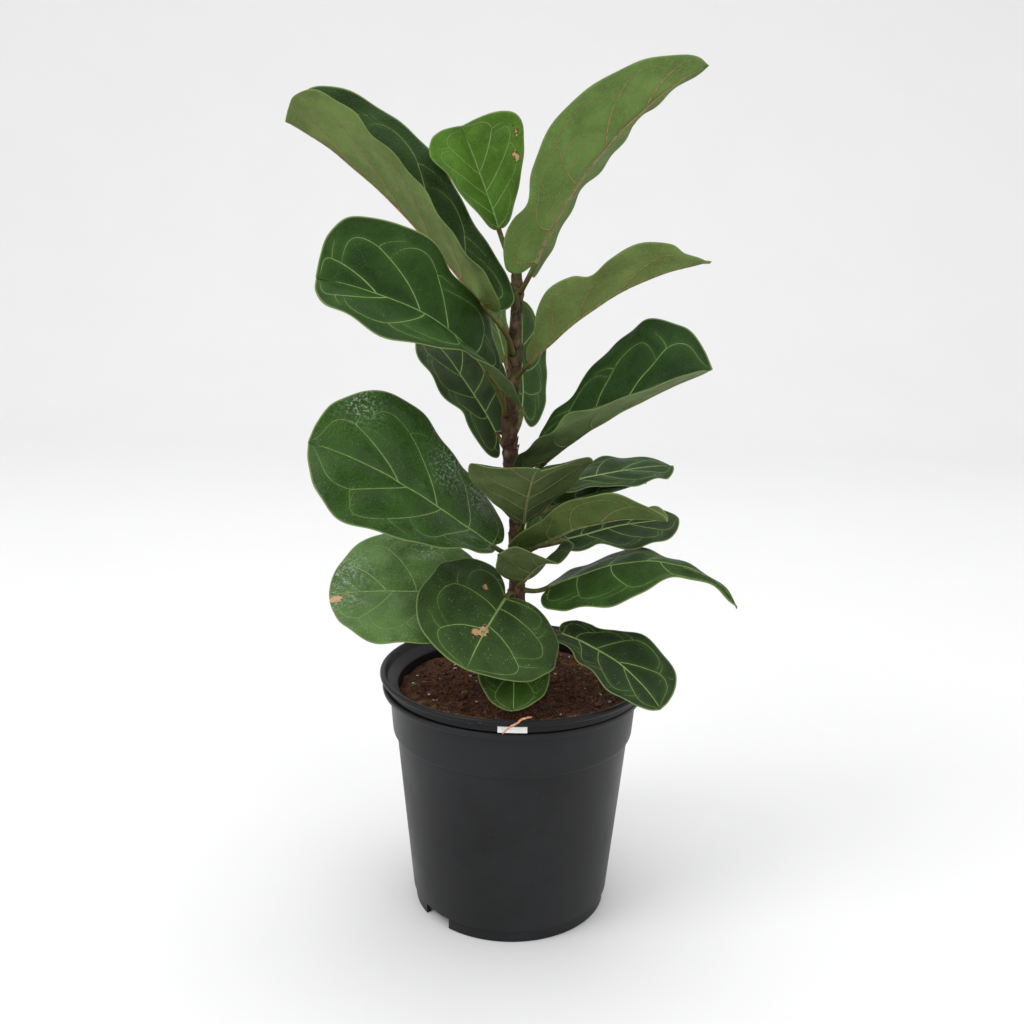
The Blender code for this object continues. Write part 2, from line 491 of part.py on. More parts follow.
def make_leaf(name, sizes):
    leaf = Leaf(**sizes)
    half = len(ACROSS)
    spread = np.linspace(0.06, 0.94, half)
    angles = [pi * s for s in spread] + [pi + pi * s for s in spread]
    loops = []
    for k in range(STALK_RINGS + 1):
        i = round(k * STALK_STEPS / STALK_RINGS)
        radius = STALK_RADIUS * (STALK_FLARE if k == 0 else 1.0)
        loops.append(ring_of(leaf.stalk[i], leaf.stalk_dirs[i], leaf.left[0], radius, angles))
    across = np.array(ACROSS)
    thickness = np.where(np.abs(across) > 0.99, LEAF_EDGE_SHARE, 1.0)[:, None] * LEAF_THICKNESS
    for share in RIB_SHARES:
        points, normals = leaf.bend(*leaf.flat(np.full(half, share), across))
        offset = normals * thickness / 2
        loops.append(list(points + offset) + list((points - offset)[::-1]))
    tip, _ = leaf.bend(np.array([leaf.length]), np.array([0.0]))
    add_object(name, loft(loops, leaf.stalk[0], tip[0]), (0.045, 0.13, 0.03), 0.4)


def make_label():
    """A blank label bent round the inner pot's collar, just under the ring."""
    inner = COLLAR_RADIUS + GAP
    half = LABEL_WIDTH / 2 / inner
    low = RING_LOW - GAP - LABEL_HEIGHT - 0.2 * MM
    loops = []
    for i in range(9):
        angle = radians(LABEL_ANGLE) + half * (i / 4 - 1)
        loop = []
        for radius, height in ((inner, low), (inner + LABEL_THICKNESS, low),
                               (inner + LABEL_THICKNESS, low + LABEL_HEIGHT), (inner, low + LABEL_HEIGHT)):
            loop.append((INNER_SHIFT[0] + radius * cos(angle), INNER_SHIFT[1] + radius * sin(angle), height))
        loops.append(loop)
    ends = [np.mean(loop, axis=0) for loop in (loops[0], loops[-1])]
    add_object("pot_label", loft(loops, *ends), (0.8, 0.8, 0.8), 0.6)


def make_fibre():
    """A stray root fibre that lies over the ring at the front."""
    outside = RING_RADIUS + FIBRE_RADIUS + 2 * GAP
    over = RING_TOP + FIBRE_RADIUS + 2 * GAP
    route = (  # compass direction from the front in degrees, radius, height
        (-4.6, outside, RING_LOW - 3.0 * MM), (-3.0, outside, RING_LOW - 0.5 * MM),
        (-1.0, outside + 0.1 * MM, RING_LOW + 2.0 * MM), (0.8, outside - 0.2 * MM, RING_TOP - 0.2 * MM),
        (2.4, RING_RADIUS - 0.6 * MM, over), (4.6, RING_RADIUS - 2.0 * MM, over + 0.3 * MM),
        (6.6, RING_RADIUS - 3.4 * MM, over),
    )
    points = [np.array([INNER_SHIFT[0] + r * cos(radians(a - 90)), INNER_SHIFT[1] + r * sin(radians(a - 90)), z])
              for a, r, z in route]
    angles = [2 * pi * i / 8 for i in range(8)]
    loops = []
    for i, point in enumerate(points):
        ahead = points[min(i + 1, len(points) - 1)] - points[max(i - 1, 0)]
        ahead /= np.linalg.norm(ahead)
        loops.append(ring_of(point, ahead, np.array([0.1, 1.0, 0.2]), FIBRE_RADIUS, angles))
    add_object("root_fibre", loft(loops, points[0], points[-1]), (0.55, 0.22, 0.12), 0.6)


for old in list(bpy.data.objects):
    bpy.data.objects.remove(old, do_unlink=True)
make_outer_pot()
make_inner_pot()
make_soil()
make_stem()
for leaf_name, leaf_sizes in LEAVES.items():
    make_leaf(leaf_name, leaf_sizes)
make_label()
make_fibre()
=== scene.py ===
"""Looks of the potted fiddle leaf fig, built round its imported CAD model.

Every piece is in metres in the CAD model's frame: +Z up, the origin under the pot's axis on the
surface it stands on, -Y towards the camera. The leaf, stem and pot tables repeat the CAD model's
own sizes, in millimetres and degrees, and heights hang on the frame's boxes.
"""
from math import cos, pi, radians, sin

import bmesh
import bpy
import numpy as np
from mathutils import Matrix, Vector, noise


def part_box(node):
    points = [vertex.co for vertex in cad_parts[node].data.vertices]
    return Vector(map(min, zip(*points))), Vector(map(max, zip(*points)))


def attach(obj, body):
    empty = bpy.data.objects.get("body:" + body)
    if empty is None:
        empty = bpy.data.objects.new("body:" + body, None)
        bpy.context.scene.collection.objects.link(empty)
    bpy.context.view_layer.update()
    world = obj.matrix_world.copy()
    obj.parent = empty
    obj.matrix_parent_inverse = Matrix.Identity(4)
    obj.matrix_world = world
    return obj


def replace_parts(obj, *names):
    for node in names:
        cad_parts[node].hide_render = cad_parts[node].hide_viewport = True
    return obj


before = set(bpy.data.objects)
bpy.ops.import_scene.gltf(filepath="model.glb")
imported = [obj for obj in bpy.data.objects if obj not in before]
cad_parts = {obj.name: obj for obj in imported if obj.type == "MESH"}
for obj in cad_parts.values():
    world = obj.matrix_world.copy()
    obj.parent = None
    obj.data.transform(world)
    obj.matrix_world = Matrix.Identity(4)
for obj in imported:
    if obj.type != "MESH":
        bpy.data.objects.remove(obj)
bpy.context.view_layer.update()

MM = 0.001

# ---------------------------------------------------------------- sizes shared with the CAD model
GAP = 0.3 * MM
RING_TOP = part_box("inner_pot")[1][2]
POT_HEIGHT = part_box("outer_pot")[1][2]
SOIL_TOP = RING_TOP - 13.0 * MM
POT_FOOT_RADIUS = 62.0 * MM
POT_BAND_RADIUS = 75.5 * MM
POT_NECK_RADIUS = 77.5 * MM
POT_LIP_RADIUS = 82.0 * MM
POT_LIP_HEIGHT = 4.5 * MM
POT_BAND_HEIGHT = 31.0 * MM
POT_STEP = 2.4 * MM
POT_WALL = 1.4 * MM
FOOT_HEIGHT = 8.0 * MM
FOOT_WIDTH = 3.0 * MM
FOOT_INSET = 0.9 * MM
NOTCH_ANGLES = (-138.0, -2.0, 111.0)
NOTCH_WIDTH = 22.0 * MM
DRAIN_COUNT = 6
DRAIN_RADIUS = 4.0 * MM
DRAIN_CIRCLE = 40.0 * MM
INNER_SLACK = 0.6 * MM
INNER_SHIFT = (1.2 * MM, -0.6 * MM)
INNER_WALL = 0.9 * MM
COLLAR_RADIUS = 80.8 * MM
RING_RADIUS = 84.5 * MM
RING_HEIGHT = 3.6 * MM
RING_WIDTH = 3.0 * MM
FLOOR_TOP = FOOT_HEIGHT + POT_WALL
BAND_LOW = POT_HEIGHT - POT_BAND_HEIGHT
LIP_LOW = POT_HEIGHT - POT_LIP_HEIGHT
BODY_TOP_RADIUS = POT_BAND_RADIUS - POT_STEP
SHOULDER = POT_HEIGHT + GAP
RING_LOW = RING_TOP - RING_HEIGHT
INNER_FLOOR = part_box("inner_pot")[0][2]

# Height above the soil, sideways offset and radius of the stem
STEM = (
    (-30, 0.0, 5.6), (-4, 0.0, 5.6), (10, 0.0, 5.2), (30, 0.5, 5.0), (48, 1.0, 4.7), (57, 1.2, 5.3),
    (66, 1.2, 4.7), (80, 0.9, 4.6), (90, 0.8, 5.2), (97, 0.7, 4.5), (112, 0.5, 4.5), (130, -2.0, 4.3),
    (142, -3.6, 4.9), (152, -4.4, 4.3), (166, -5.0, 4.6), (176, -4.8, 5.0), (184, -4.2, 4.2),
    (200, -2.0, 3.8), (211, -2.2, 4.4), (220, -2.5, 3.6), (236, -1.8, 3.3), (245, -1.6, 3.9),
    (252, -2.0, 3.0), (266, -3.0, 3.2), (271, -3.3, 2.2),
)

# Half outlines of a flat leaf from the stalk (0, 0) round to the tip (100, 0): % of length, % of half width
OUTLINES = {
    "fiddle": ((-5, 15), (-5, 36), (3, 55), (13, 60), (22, 58), (33, 78), (47, 97), (62, 100), (77, 92),
        (90, 64), (97.5, 28)),
    "broad": ((-6, 18), (-5, 42), (5, 62), (18, 70), (32, 80), (48, 93), (62, 100), (76, 97), (88, 82),
        (96, 56), (99.2, 26)),
    "blunt": ((-6, 18), (-5, 42), (5, 58), (18, 66), (32, 78), (48, 92), (64, 100), (80, 99), (92, 88),
        (98.5, 64), (99.8, 32)),
    "shouldered": ((-10, 20), (-11, 48), (1, 74), (14, 83), (26, 77), (37, 78), (49, 91), (63, 100),
        (79, 98), (91, 86), (98, 58), (99.8, 28)),
    "lobed": ((-18, 12), (-30, 36), (-22, 68), (2, 94), (28, 102), (52, 100), (74, 86), (90, 58), (98, 24)),
    "wedge": ((-1, 10), (4, 24), (16, 40), (32, 58), (48, 76), (64, 93), (78, 100), (90, 90), (97.5, 58),
        (99.8, 26)),
    "lyrate": ((-6, 20), (-6, 48), (3, 68), (12, 70), (20, 62), (30, 84), (42, 100), (55, 98), (68, 84),
        (80, 64), (90, 42), (97, 20)),
    "eared": ((-12, 10), (-20, 28), (-16, 50), (-2, 62), (12, 62), (22, 60), (33, 78), (47, 97), (62, 100),
        (77, 92), (90, 64), (97.5, 28)),
    "round": ((-10, 16), (-13, 42), (-2, 72), (18, 92), (40, 100), (60, 98), (78, 84), (91, 56), (98, 24)),
    "young": ((0, 10), (5, 26), (16, 44), (31, 66), (46, 88), (62, 100), (78, 92), (90, 62), (97, 26)),
    "notched": ((0, 12), (4, 30), (12, 44), (20, 74), (32, 100), (43, 90), (50, 70), (60, 82), (74, 84),
        (84, 62), (89, 32), (95, 14)),
    "tailed": ((-4, 20), (-2, 50), (8, 78), (22, 98), (36, 100), (48, 80), (58, 50), (67, 28), (80, 17),
        (93, 10)),
}

# One row per leaf, in mm and degrees; one number stands for several equal ones:
#   height above the soil where its stalk leaves the stem
#   stalk: length, compass direction, elevation
#   blade: length, half width
#   direction at the blade's foot, middle and tip
#   elevation at the same places
#   sideways tilt at the same places
#   fold: how far the left and right halves stand up from flat
#   curl: how much more they do so at the margin
#   waves of the margin: height, number, phase
#   outlines of the left and right halves
LEAVES = {
    "leaf_01": (208, (36, 252, 58), (155, 41), (162, 168, 184), (46, 43, 27), (-4, -8, -14), 48, 0,
        (1.5, 2.5, 0), "blunt"),
    "leaf_02": (262, (19, 170, 66), (61, 33), (165, 162, 160), (70, 68, 62), -52, 24, (14, 10), (1, 2, 1),
        "wedge"),
    "leaf_03": (244, (20, -60, 45), (144, 31), (-30, -12, 16), (64, 50, 26), (-20, -32, -48), 32, 0,
        (1.5, 2.5, 2), "lyrate"),
    "leaf_04": (195, (14, -60, 38), (121, 24), (-36, -20, 4), (42, 32, 6), -22, 45, 0, (1, 3, 1), "notched"),
    "leaf_05": (172, (36, -115, 60), (116, 41), (-130, -150, -185), (46, 26, 8), (-42, -50, -50), 24, 0,
        (1.5, 2.5, 0), ("eared", "shouldered")),
    "leaf_06": (133, (24, -40, 30), (119, 48), (-42, -33, -12), (38, 31, 24), 26, 31, 0, (1.5, 2.5, 1),
        "broad"),
    "leaf_07": (150, (14, 120, 30), (84, 30), (134, 138, 142), (48, 43, 33), (-15, -10, 0), 15, 0, (1, 2, 0),
        ("eared", "fiddle")),
    "leaf_08": (190, (20, 108, 55), (114, 13), (107, 111, 114), (44, 34, 24), 0, 30, 0, (1, 2, 0), "fiddle"),
    "leaf_09": (159, (22, 60, 36), (85, 19), (88, 92, 88), (45, 48, 50), 50, 20, 0, (1, 2, 0), "round"),
    "leaf_10": (86, (16, -135, 25), (130, 47), (-148, -160, -182), (36, 34, 16), (-40, -46, -50), 12, 0,
        (1.5, 2, 0), ("young", "broad")),
    "leaf_11": (57, (26, -165, 12), (84, 45), (-168, -172, -176), (8, 2, -6), (-30, -31, -31), 6, 0,
        (1.5, 2, 2), "round"),
    "leaf_12": (62, (14, -112, 25), (60, 45), (-111, -114, -117), (-18, -26, -44), -32, 4, -8, (1, 2, 0),
        ("round", "lobed")),
    "leaf_13": (37, (14, -92, -30), (49, 21), (-90, -90, -90), (-18, -26, -48), 0, 4, 0, (1, 2, 0), "round"),
    "leaf_14": (44, (27, -24, -10), (81, 26), (-35, -42, -50), (-6, -18, -42), 14, (10, 16), 0, (1.5, 2.5, 0),
        "fiddle"),
    "leaf_15": (64, (18, -32, 0), (127, 30), (-23, -12, -6), (28, 5, -62), 18, -15, 0, (1.5, 2.5, 0),
        "tailed"),
    "leaf_16": (90, (26, 0, 8), (74, 24), (12, 16, 10), (14, 8, 0), 18, -2, 0, (1.5, 2, 0), "fiddle"),
    "leaf_17": (88, (20, -66, 18), (98, 22), (-52, -42, -26), (31, 21, 0), -18, 30, 0, (1.5, 2, 0), "eared"),
    "leaf_18": (102, (12, -70, 30), (84, 36), (-84, -84, -82), (48, 36, 8), 0, (14, 6), 0, (1.5, 2, 0),
        "young"),
    "leaf_19": (121, (28, 25, 12), (84, 20), (32, 28, 18), (10, 4, 0), 14, 0, 0, (1.5, 2, 0), "fiddle"),
    "leaf_20": (107, (28, 32, 14), (62, 13), (32, 24, 14), (12, 10, 4), 10, 20, 0, (1, 2, 0), "round"),
    "leaf_21": (67, (13, -74, 30), (46, 24), (-70, -62, -52), (38, 30, 0), 0, 20, 20, (1.5, 2, 0), "round"),
    "leaf_22": (83, (22, 46, 22), (60, 17), (56, 48, 38), (30, 24, 14), 10, 12, 0, (1, 2, 0), "round"),
}

# How each leaf looks: colour above and below, pairs of side veins, roughness above, gloss, how
# strongly the blade puffs up between its veins in mm, how dusty it is, blemishes (share along, share
# across, size in mm, brownness) and patches of painted glints, pale specks that stand in for
# highlights on the upper face (share along, share across, size in mm)
DEEP = (0.022, 0.064, 0.006)
DARK = (0.012, 0.034, 0.006)
FRESH = (0.060, 0.140, 0.014)
PALE = (0.112, 0.185, 0.046)
OLIVE = (0.066, 0.104, 0.028)
GREY = (0.124, 0.180, 0.050)
LOOKS = {
    "leaf_01": dict(upper=DARK, under=GREY, pairs=5),
    "leaf_02": dict(upper=FRESH, under=(0.095, 0.175, 0.035), rough=0.5,
        blemishes=((0.46, -0.80, 4.0, 0.4), (0.56, -0.84, 3.0, 0.3))),
    "leaf_03": dict(upper=OLIVE, under=PALE, pairs=5),
    "leaf_04": dict(upper=OLIVE, under=GREY),
    "leaf_05": dict(upper=(0.016, 0.043, 0.007), pairs=5, rough=0.5, dust=0.15),
    "leaf_06": dict(upper=(0.012, 0.036, 0.006), under=(0.105, 0.155, 0.056), rough=0.45),
    "leaf_07": dict(upper=(0.026, 0.044, 0.017)),
    "leaf_08": dict(upper=OLIVE, under=GREY),
    "leaf_09": dict(upper=(0.018, 0.044, 0.008)),
    "leaf_10": dict(upper=DEEP, rough=0.30, dust=0.3, specular=0.22, puff=1.2,
        blemishes=((0.46, 0.42, 1.6, 0.1),),
        painted_glints=((0.68, -0.84, 10), (0.42, -0.72, 13), (0.30, -0.78, 9))),
    "leaf_11": dict(upper=(0.066, 0.138, 0.026), rough=0.36, dust=0.5, specular=0.26,
        blemishes=((0.93, 0.55, 5.0, 0.7),),
        painted_glints=((0.82, -0.7, 14), (0.90, 0.5, 12), (0.45, -0.85, 10))),
    "leaf_12": dict(upper=(0.030, 0.058, 0.016), pairs=3, rough=0.5, dust=0.5,
        blemishes=((0.62, -0.02, 5.5, 0.6), (0.66, -0.12, 4.0, 0.45), (0.30, -0.42, 3.0, 0.6))),
    "leaf_13": dict(upper=(0.026, 0.062, 0.008), pairs=3, rough=0.42, dust=0.5),
    "leaf_14": dict(upper=(0.016, 0.032, 0.011), rough=0.5, dust=0.3),
    "leaf_15": dict(upper=(0.022, 0.054, 0.009), rough=0.42, dust=0.2),
    "leaf_16": dict(upper=(0.017, 0.032, 0.011)),
    "leaf_17": dict(upper=OLIVE, under=(0.078, 0.116, 0.030)),
    "leaf_18": dict(upper=DARK, under=(0.086, 0.122, 0.044)),
    "leaf_19": dict(upper=DARK),
    "leaf_20": dict(upper=DARK, pairs=3),
    "leaf_21": dict(upper=(0.050, 0.076, 0.022), under=(0.086, 0.122, 0.042), pairs=3),
    "leaf_22": dict(upper=DARK, pairs=3),
}

TAN_BELOW = {"leaf_01", "leaf_03", "leaf_04"}    # leaves with tan veins and fine cross veins below

MIDRIB_STEPS = 60
STALK_STEPS = 24
RIB_SWEEP = 1.3                   # how the feet of the flat leaf's side lines crowd to the stalk
MESH_PITCH = 1.35 * MM            # the blade's mesh size
BLADE_THICKNESS = 0.62 * MM
STALK_RADIUS = 1.6 * MM
STALK_FLARE = 1.25                # how much thicker the stalk is at the stem
PUFF_SPREAD = 5.5 * MM            # how far from a vein the blade is nearly fully puffed up
CALM_MARGIN = 7 * MM              # the puff fades out this close to the margin
RIPPLE = 0.132 * MM               # height and length of the low waves all over the blade
RIPPLE_LENGTH = 38 * MM
MARGIN_WAVE = 0.9 * MM            # height, length and reach inwards of the waves along the margin
MARGIN_LENGTH = 27 * MM
MARGIN_FADE = 6 * MM
BROAD_LEAF = 40 * MM              # leaves with a smaller half width have slimmer veins and less puff


# ---------------------------------------------------------------- meshes
ROUND_END = 0.4                   # how far a tube's end bulges, as a share of its radius


def new_piece(name, solid, material, attributes=()):
    """A mesh object that rides on the plant, with the given material."""
    points, faces = solid
    mesh = bpy.data.meshes.new(name)
    mesh.from_pydata([tuple(p) for p in points], [], [tuple(int(i) for i in f) for f in faces])
    for key, values in attributes:
        layer = mesh.attributes.new(key, "FLOAT", "POINT")
        layer.data.foreach_set("value", np.asarray(values, np.float32))
    mesh.materials.append(material)
    mesh.validate()
    mesh.shade_smooth()
    bm = bmesh.new()
    bm.from_mesh(mesh)
    finish_mesh(bm, mesh)
    obj = add_object(name, mesh)
    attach(obj, "root")
    return obj


def add_object(name, data):
    """An object in the scene for a mesh, a light or a camera."""
    obj = bpy.data.objects.new(name, data)
    bpy.context.scene.collection.objects.link(obj)
    return obj


def finish_mesh(bm, mesh):
    """Turn the faces of every closed shell outwards and put the result into a mesh."""
    bm.normal_update()
    bmesh.ops.recalc_face_normals(bm, faces=bm.faces)
    bm.to_mesh(mesh)
    bm.free()


def loft_faces(rings, count, closed=True):
    """Quads between rings of points numbered one after another."""
    i, j = np.meshgrid(np.arange(rings - 1), np.arange(count if closed else count - 1), indexing="ij")
    after = (j + 1) % count
    corners = [i * count + j, i * count + after, (i + 1) * count + after, (i + 1) * count + j]
    return np.stack(corners, -1).reshape(-1, 4)


def fan(ring, tip):
    """Triangles from a ring of point numbers to one point."""
    return [(a, b, tip) for a, b in zip(ring, np.roll(ring, -1))]


def closed_loft(loops, start, end):
    """Points and faces of a solid through loops, closed to a point at each end."""
    count = len(loops[0])
    points = np.vstack([np.reshape(loops, (-1, 3)), [start], [end]])
    last = len(loops) * count
    first_fan = [(b, a, tip) for a, b, tip in fan(np.arange(count), last)]
    return points, [*loft_faces(len(loops), count), *first_fan, *fan(np.arange(last - count, last), last + 1)]


def closed_sheet(inner, outer, rows, cols):
    """Points and faces of a thin solid between two grids of points, listed row by row."""
    count = rows * cols
    faces = []
    for quad in loft_faces(rows, cols, closed=False):
        faces += [quad[::-1], quad + count]
    grid = np.arange(count).reshape(rows, cols)
    rim = [*grid[0], *grid[1:, -1], *grid[-1, -2::-1], *grid[-2:0:-1, 0]]
    faces += [(a, b, count + b, count + a) for a, b in zip(rim, rim[1:] + rim[:1])]
    return np.vstack([inner, outer]), faces


def joined(parts):
    """Points and faces of several solids as one solid."""
    points, faces, base = [], [], 0
    for part_points, part_faces in parts:
        points.append(part_points)
        faces += [tuple(base + i for i in face) for face in part_faces]
        base += len(part_points)
    return np.vstack(points), faces


def tube(path, radii, sides=8, squash=1.0, normals=(0.13, 0.21, 0.97)):
    """A solid tube along a path with a radius at each point, rounded off at its ends."""
    path = np.asarray(path, float)
    ahead = np.gradient(path, axis=0)
    ahead /= np.linalg.norm(ahead, axis=1, keepdims=True)
    across = np.cross(ahead, normals)
    across /= np.maximum(np.linalg.norm(across, axis=1, keepdims=True), 1e-9)
    above = np.cross(across, ahead)
    angles = 2 * pi * np.arange(sides) / sides
    wide, high = np.cos(angles)[None, :, None], np.sin(angles)[None, :, None]
    radii = np.asarray(radii)[:, None, None]
    loops = path[:, None] + radii * (across[:, None] * wide + squash * above[:, None] * high)
    start = path[0] - ahead[0] * float(radii[0, 0, 0]) * ROUND_END
    end = path[-1] + ahead[-1] * float(radii[-1, 0, 0]) * ROUND_END
    return closed_loft(loops, start, end)


# ---------------------------------------------------------------- materials
class Surface:
    """A Principled material with short calls for the nodes that feed it."""

    def __init__(self, name, rough=0.5, specular=0.5):
        self.material = bpy.data.materials.new(name)
        self.material.use_nodes = True
        self.tree = self.material.node_tree
        self.shader = self.tree.nodes["Principled BSDF"]
        self.shader.inputs["Roughness"].default_value = rough
        self.shader.inputs["Specular IOR Level"].default_value = specular

    def put(self, socket, value):
        """Link a node's output to an input, or set the input to a constant."""
        if isinstance(value, bpy.types.NodeSocket):
            self.tree.links.new(value, socket)
        else:
            socket.default_value = (*value, 1) if socket.type == "RGBA" else value

    def node(self, kind, output, inputs, **settings):
        """Add a node, set it up, feed its inputs and give back one of its outputs."""
        node = self.tree.nodes.new("ShaderNode" + kind)
        for key, value in settings.items():
            setattr(node, key, value)
        for key, value in inputs.items():
            self.put(node.inputs[key], value)
        return node.outputs[output]

    def place(self):
        return self.node("TexCoord", "Object", {})

    def value(self, name):
        return self.node("Attribute", "Fac", {}, attribute_name=name)

    def flat_place(self):
        """The place on a leaf laid flat."""
        return self.node("CombineXYZ", 0, {axis: self.value("flat_" + axis.lower()) for axis in "XYZ"})

    def noise(self, where, scale, detail=4.0, rough=0.55, warp=0.0):
        inputs = {"Vector": where, "Scale": scale, "Detail": detail, "Roughness": rough, "Distortion": warp}
        return self.node("TexNoise", "Fac", inputs)

    def cells(self, where, scale, feature="F1"):
        return self.node("TexVoronoi", "Distance", {"Vector": where, "Scale": scale}, feature=feature)

    def squeeze(self, value, low, high, out_low=0.0, out_high=1.0, kind="SMOOTHSTEP"):
        """Map a range to another, clamped."""
        inputs = {"Value": value, "From Min": low, "From Max": high, "To Min": out_low, "To Max": out_high}
        return self.node("MapRange", "Result", inputs, interpolation_type=kind)

    def times(self, a, b):
        return self.node("Math", 0, {0: a, 1: b}, operation="MULTIPLY")

    def plus(self, a, b):
        return self.node("Math", 0, {0: a, 1: b}, operation="ADD")

    def mix(self, share, a, b):
        return self.node("Mix", 2, {0: share, 6: a, 7: b}, data_type="RGBA")

    def blend(self, value, a, b, low=0.3, high=0.7):
        """From one colour to another as a texture's value goes up."""
        return self.mix(self.squeeze(value, low, high), a, b)

    def bump(self, height, distance, strength, under=None):
        """A bumpy normal, on top of another one if that is given."""
        inputs = {"Height": height, "Distance": distance, "Strength": strength}
        return self.node("Bump", "Normal", inputs if under is None else {**inputs, "Normal": under})

    def finish(self, colour, rough=None, normal=None):
        for key, value in (("Base Color", colour), ("Roughness", rough), ("Normal", normal)):
            if value is not None:
                self.put(self.shader.inputs[key], value)
        return self.material


def shade(colour, factor):
    return tuple(c * factor for c in colour)


def leaf_material(name, upper, under=OLIVE, rough=0.42, dust=0.05, specular=0.08, **_):
    """Leather-like blade: dark above with a light vein net, paler and matt below."""
    s = Surface(name, specular=specular)
    flat = s.flat_place()
    below = s.value("under")
    cloud = s.noise(flat, 55, 3, warp=0.4)
    grain = s.noise(flat, 900, 2)
    net = s.squeeze(s.cells(flat, 420, "DISTANCE_TO_EDGE"), 0.0, 0.13, 1.0, 0.0)
    near = s.value("near_vein")
    top = s.blend(cloud, shade(upper, 0.72), shade(upper, 1.28))
    top = s.mix(s.times(net, 0.16), top, shade(upper, 2.3))
    top = s.mix(s.times(near, 0.35), top, (0.085, 0.160, 0.035))
    low = s.blend(cloud, shade(under, 0.80), shade(under, 1.18))
    low = s.mix(s.times(net, 0.30), low, shade(under, 1.55))
    low = s.mix(s.times(near, 0.30), low, shade(under, 0.62))
    colour = s.mix(below, top, low)
    colour = s.mix(s.squeeze(grain, 0.35, 0.75, 0.0, 0.22), colour, shade(under, 0.6))
    specks = s.squeeze(s.cells(flat, 620), 0.10, 0.26, 1.0, 0.0)
    specks = s.times(specks, s.squeeze(s.noise(flat, 120, 2), 0.46, 0.66))
    dusty = s.times(specks, dust)
    colour = s.mix(dusty, colour, (0.42, 0.46, 0.36))
    # Painted glints: patches of pale specks on the upper face that stand in for highlights
    spots = s.squeeze(s.noise(flat, 520, 5, 0.75, 0.3), 0.50, 0.60, 0.0, 0.75)
    painted_glints = s.times(s.times(s.value("painted_glints"), spots), s.squeeze(below, 0, 1, 1, 0))
    colour = s.mix(painted_glints, colour, (0.36, 0.42, 0.34))
    colour = s.mix(s.squeeze(s.value("edge"), 0.35, 1.05, 0.9, 0.0), colour, (0.16, 0.22, 0.07))
    mark = s.plus(s.value("blemish"), s.squeeze(s.noise(flat, 500, 3), 0.3, 0.7, -0.25, 0.25))
    colour = s.blend(mark, colour, (0.055, 0.032, 0.012), 0.36, 0.46)
    colour = s.blend(mark, colour, (0.50, 0.30, 0.16), 0.50, 0.60)
    stalk = s.blend(s.noise(flat, 260, 4), (0.10, 0.135, 0.035), (0.115, 0.062, 0.026), 0.40, 0.62)
    colour = s.mix(s.value("stalk"), colour, stalk)
    gloss = s.squeeze(s.noise(flat, 140, 3), 0.3, 0.7, -0.06, 0.08)
    roughness = s.plus(s.squeeze(below, 0, 1, rough, 0.62, "LINEAR"), gloss)
    roughness = s.plus(roughness, s.times(dusty, 0.4))
    normal = s.bump(net, 0.00022, 0.55)
    normal = s.bump(grain, 0.00010, 0.5, normal)
    return s.finish(colour, roughness, s.bump(cloud, 0.0012, 0.35, normal))


def vein_material(name, above, below):
    """Veins: light green on the upper face, tan below."""
    s = Surface(name, rough=0.45, specular=0.4)
    where = s.place()
    mottle = s.noise(where, 420, 3)
    top = s.blend(mottle, shade(above, 0.80), shade(above, 1.2))
    low = s.blend(mottle, shade(below, 0.70), shade(below, 1.25))
    return s.finish(s.mix(s.value("under"), top, low), None, s.bump(s.noise(where, 1500, 2), 0.0001, 0.5))


# ---------------------------------------------------------------- leaves
def heading(turn, rise):
    """Unit vector for a compass direction and an elevation, in radians."""
    return np.array([cos(rise) * cos(turn), cos(rise) * sin(turn), sin(rise)])


def through_three(values, share):
    """Smooth value at a share 0..1, through values given at 0, one half and 1."""
    a, b, c = values
    return a * (1 - share) * (1 - 2 * share) + 4 * b * share * (1 - share) + c * share * (2 * share - 1)


def smooth_outline(name, count=400):
    """Points evenly spaced along the Catmull-Rom curve through a half outline."""
    knots = np.array(((0, 0), *OUTLINES[name], (100, 0)), float) / 100
    knots = np.vstack([2 * knots[0] - knots[1], knots, 2 * knots[-1] - knots[-2]])
    points = []
    for a, b, c, d in zip(knots, knots[1:], knots[2:], knots[3:]):
        for t in np.arange(24) / 24:
            points.append(0.5 * (2 * b + (c - a) * t + (2 * a - 5 * b + 4 * c - d) * t ** 2
                                 + (3 * b - a - 3 * c + d) * t ** 3))
    points = np.array([*points, knots[-2]])
    along = np.r_[0, np.cumsum(np.hypot(*np.diff(points, axis=0).T))]
    share = np.linspace(0, 1, count) * along[-1]
    return np.stack([np.interp(share, along, points[:, k]) for k in (0, 1)], -1)


def stem_at(height):
    """Centre and radius of the stem at a height above the soil, in metres."""
    levels, offsets, radii = np.array(STEM, float).T
    centre = np.array([np.interp(height, levels, offsets) * MM, 0.0, SOIL_TOP + height * MM])
    return centre, np.interp(height, levels, radii) * MM


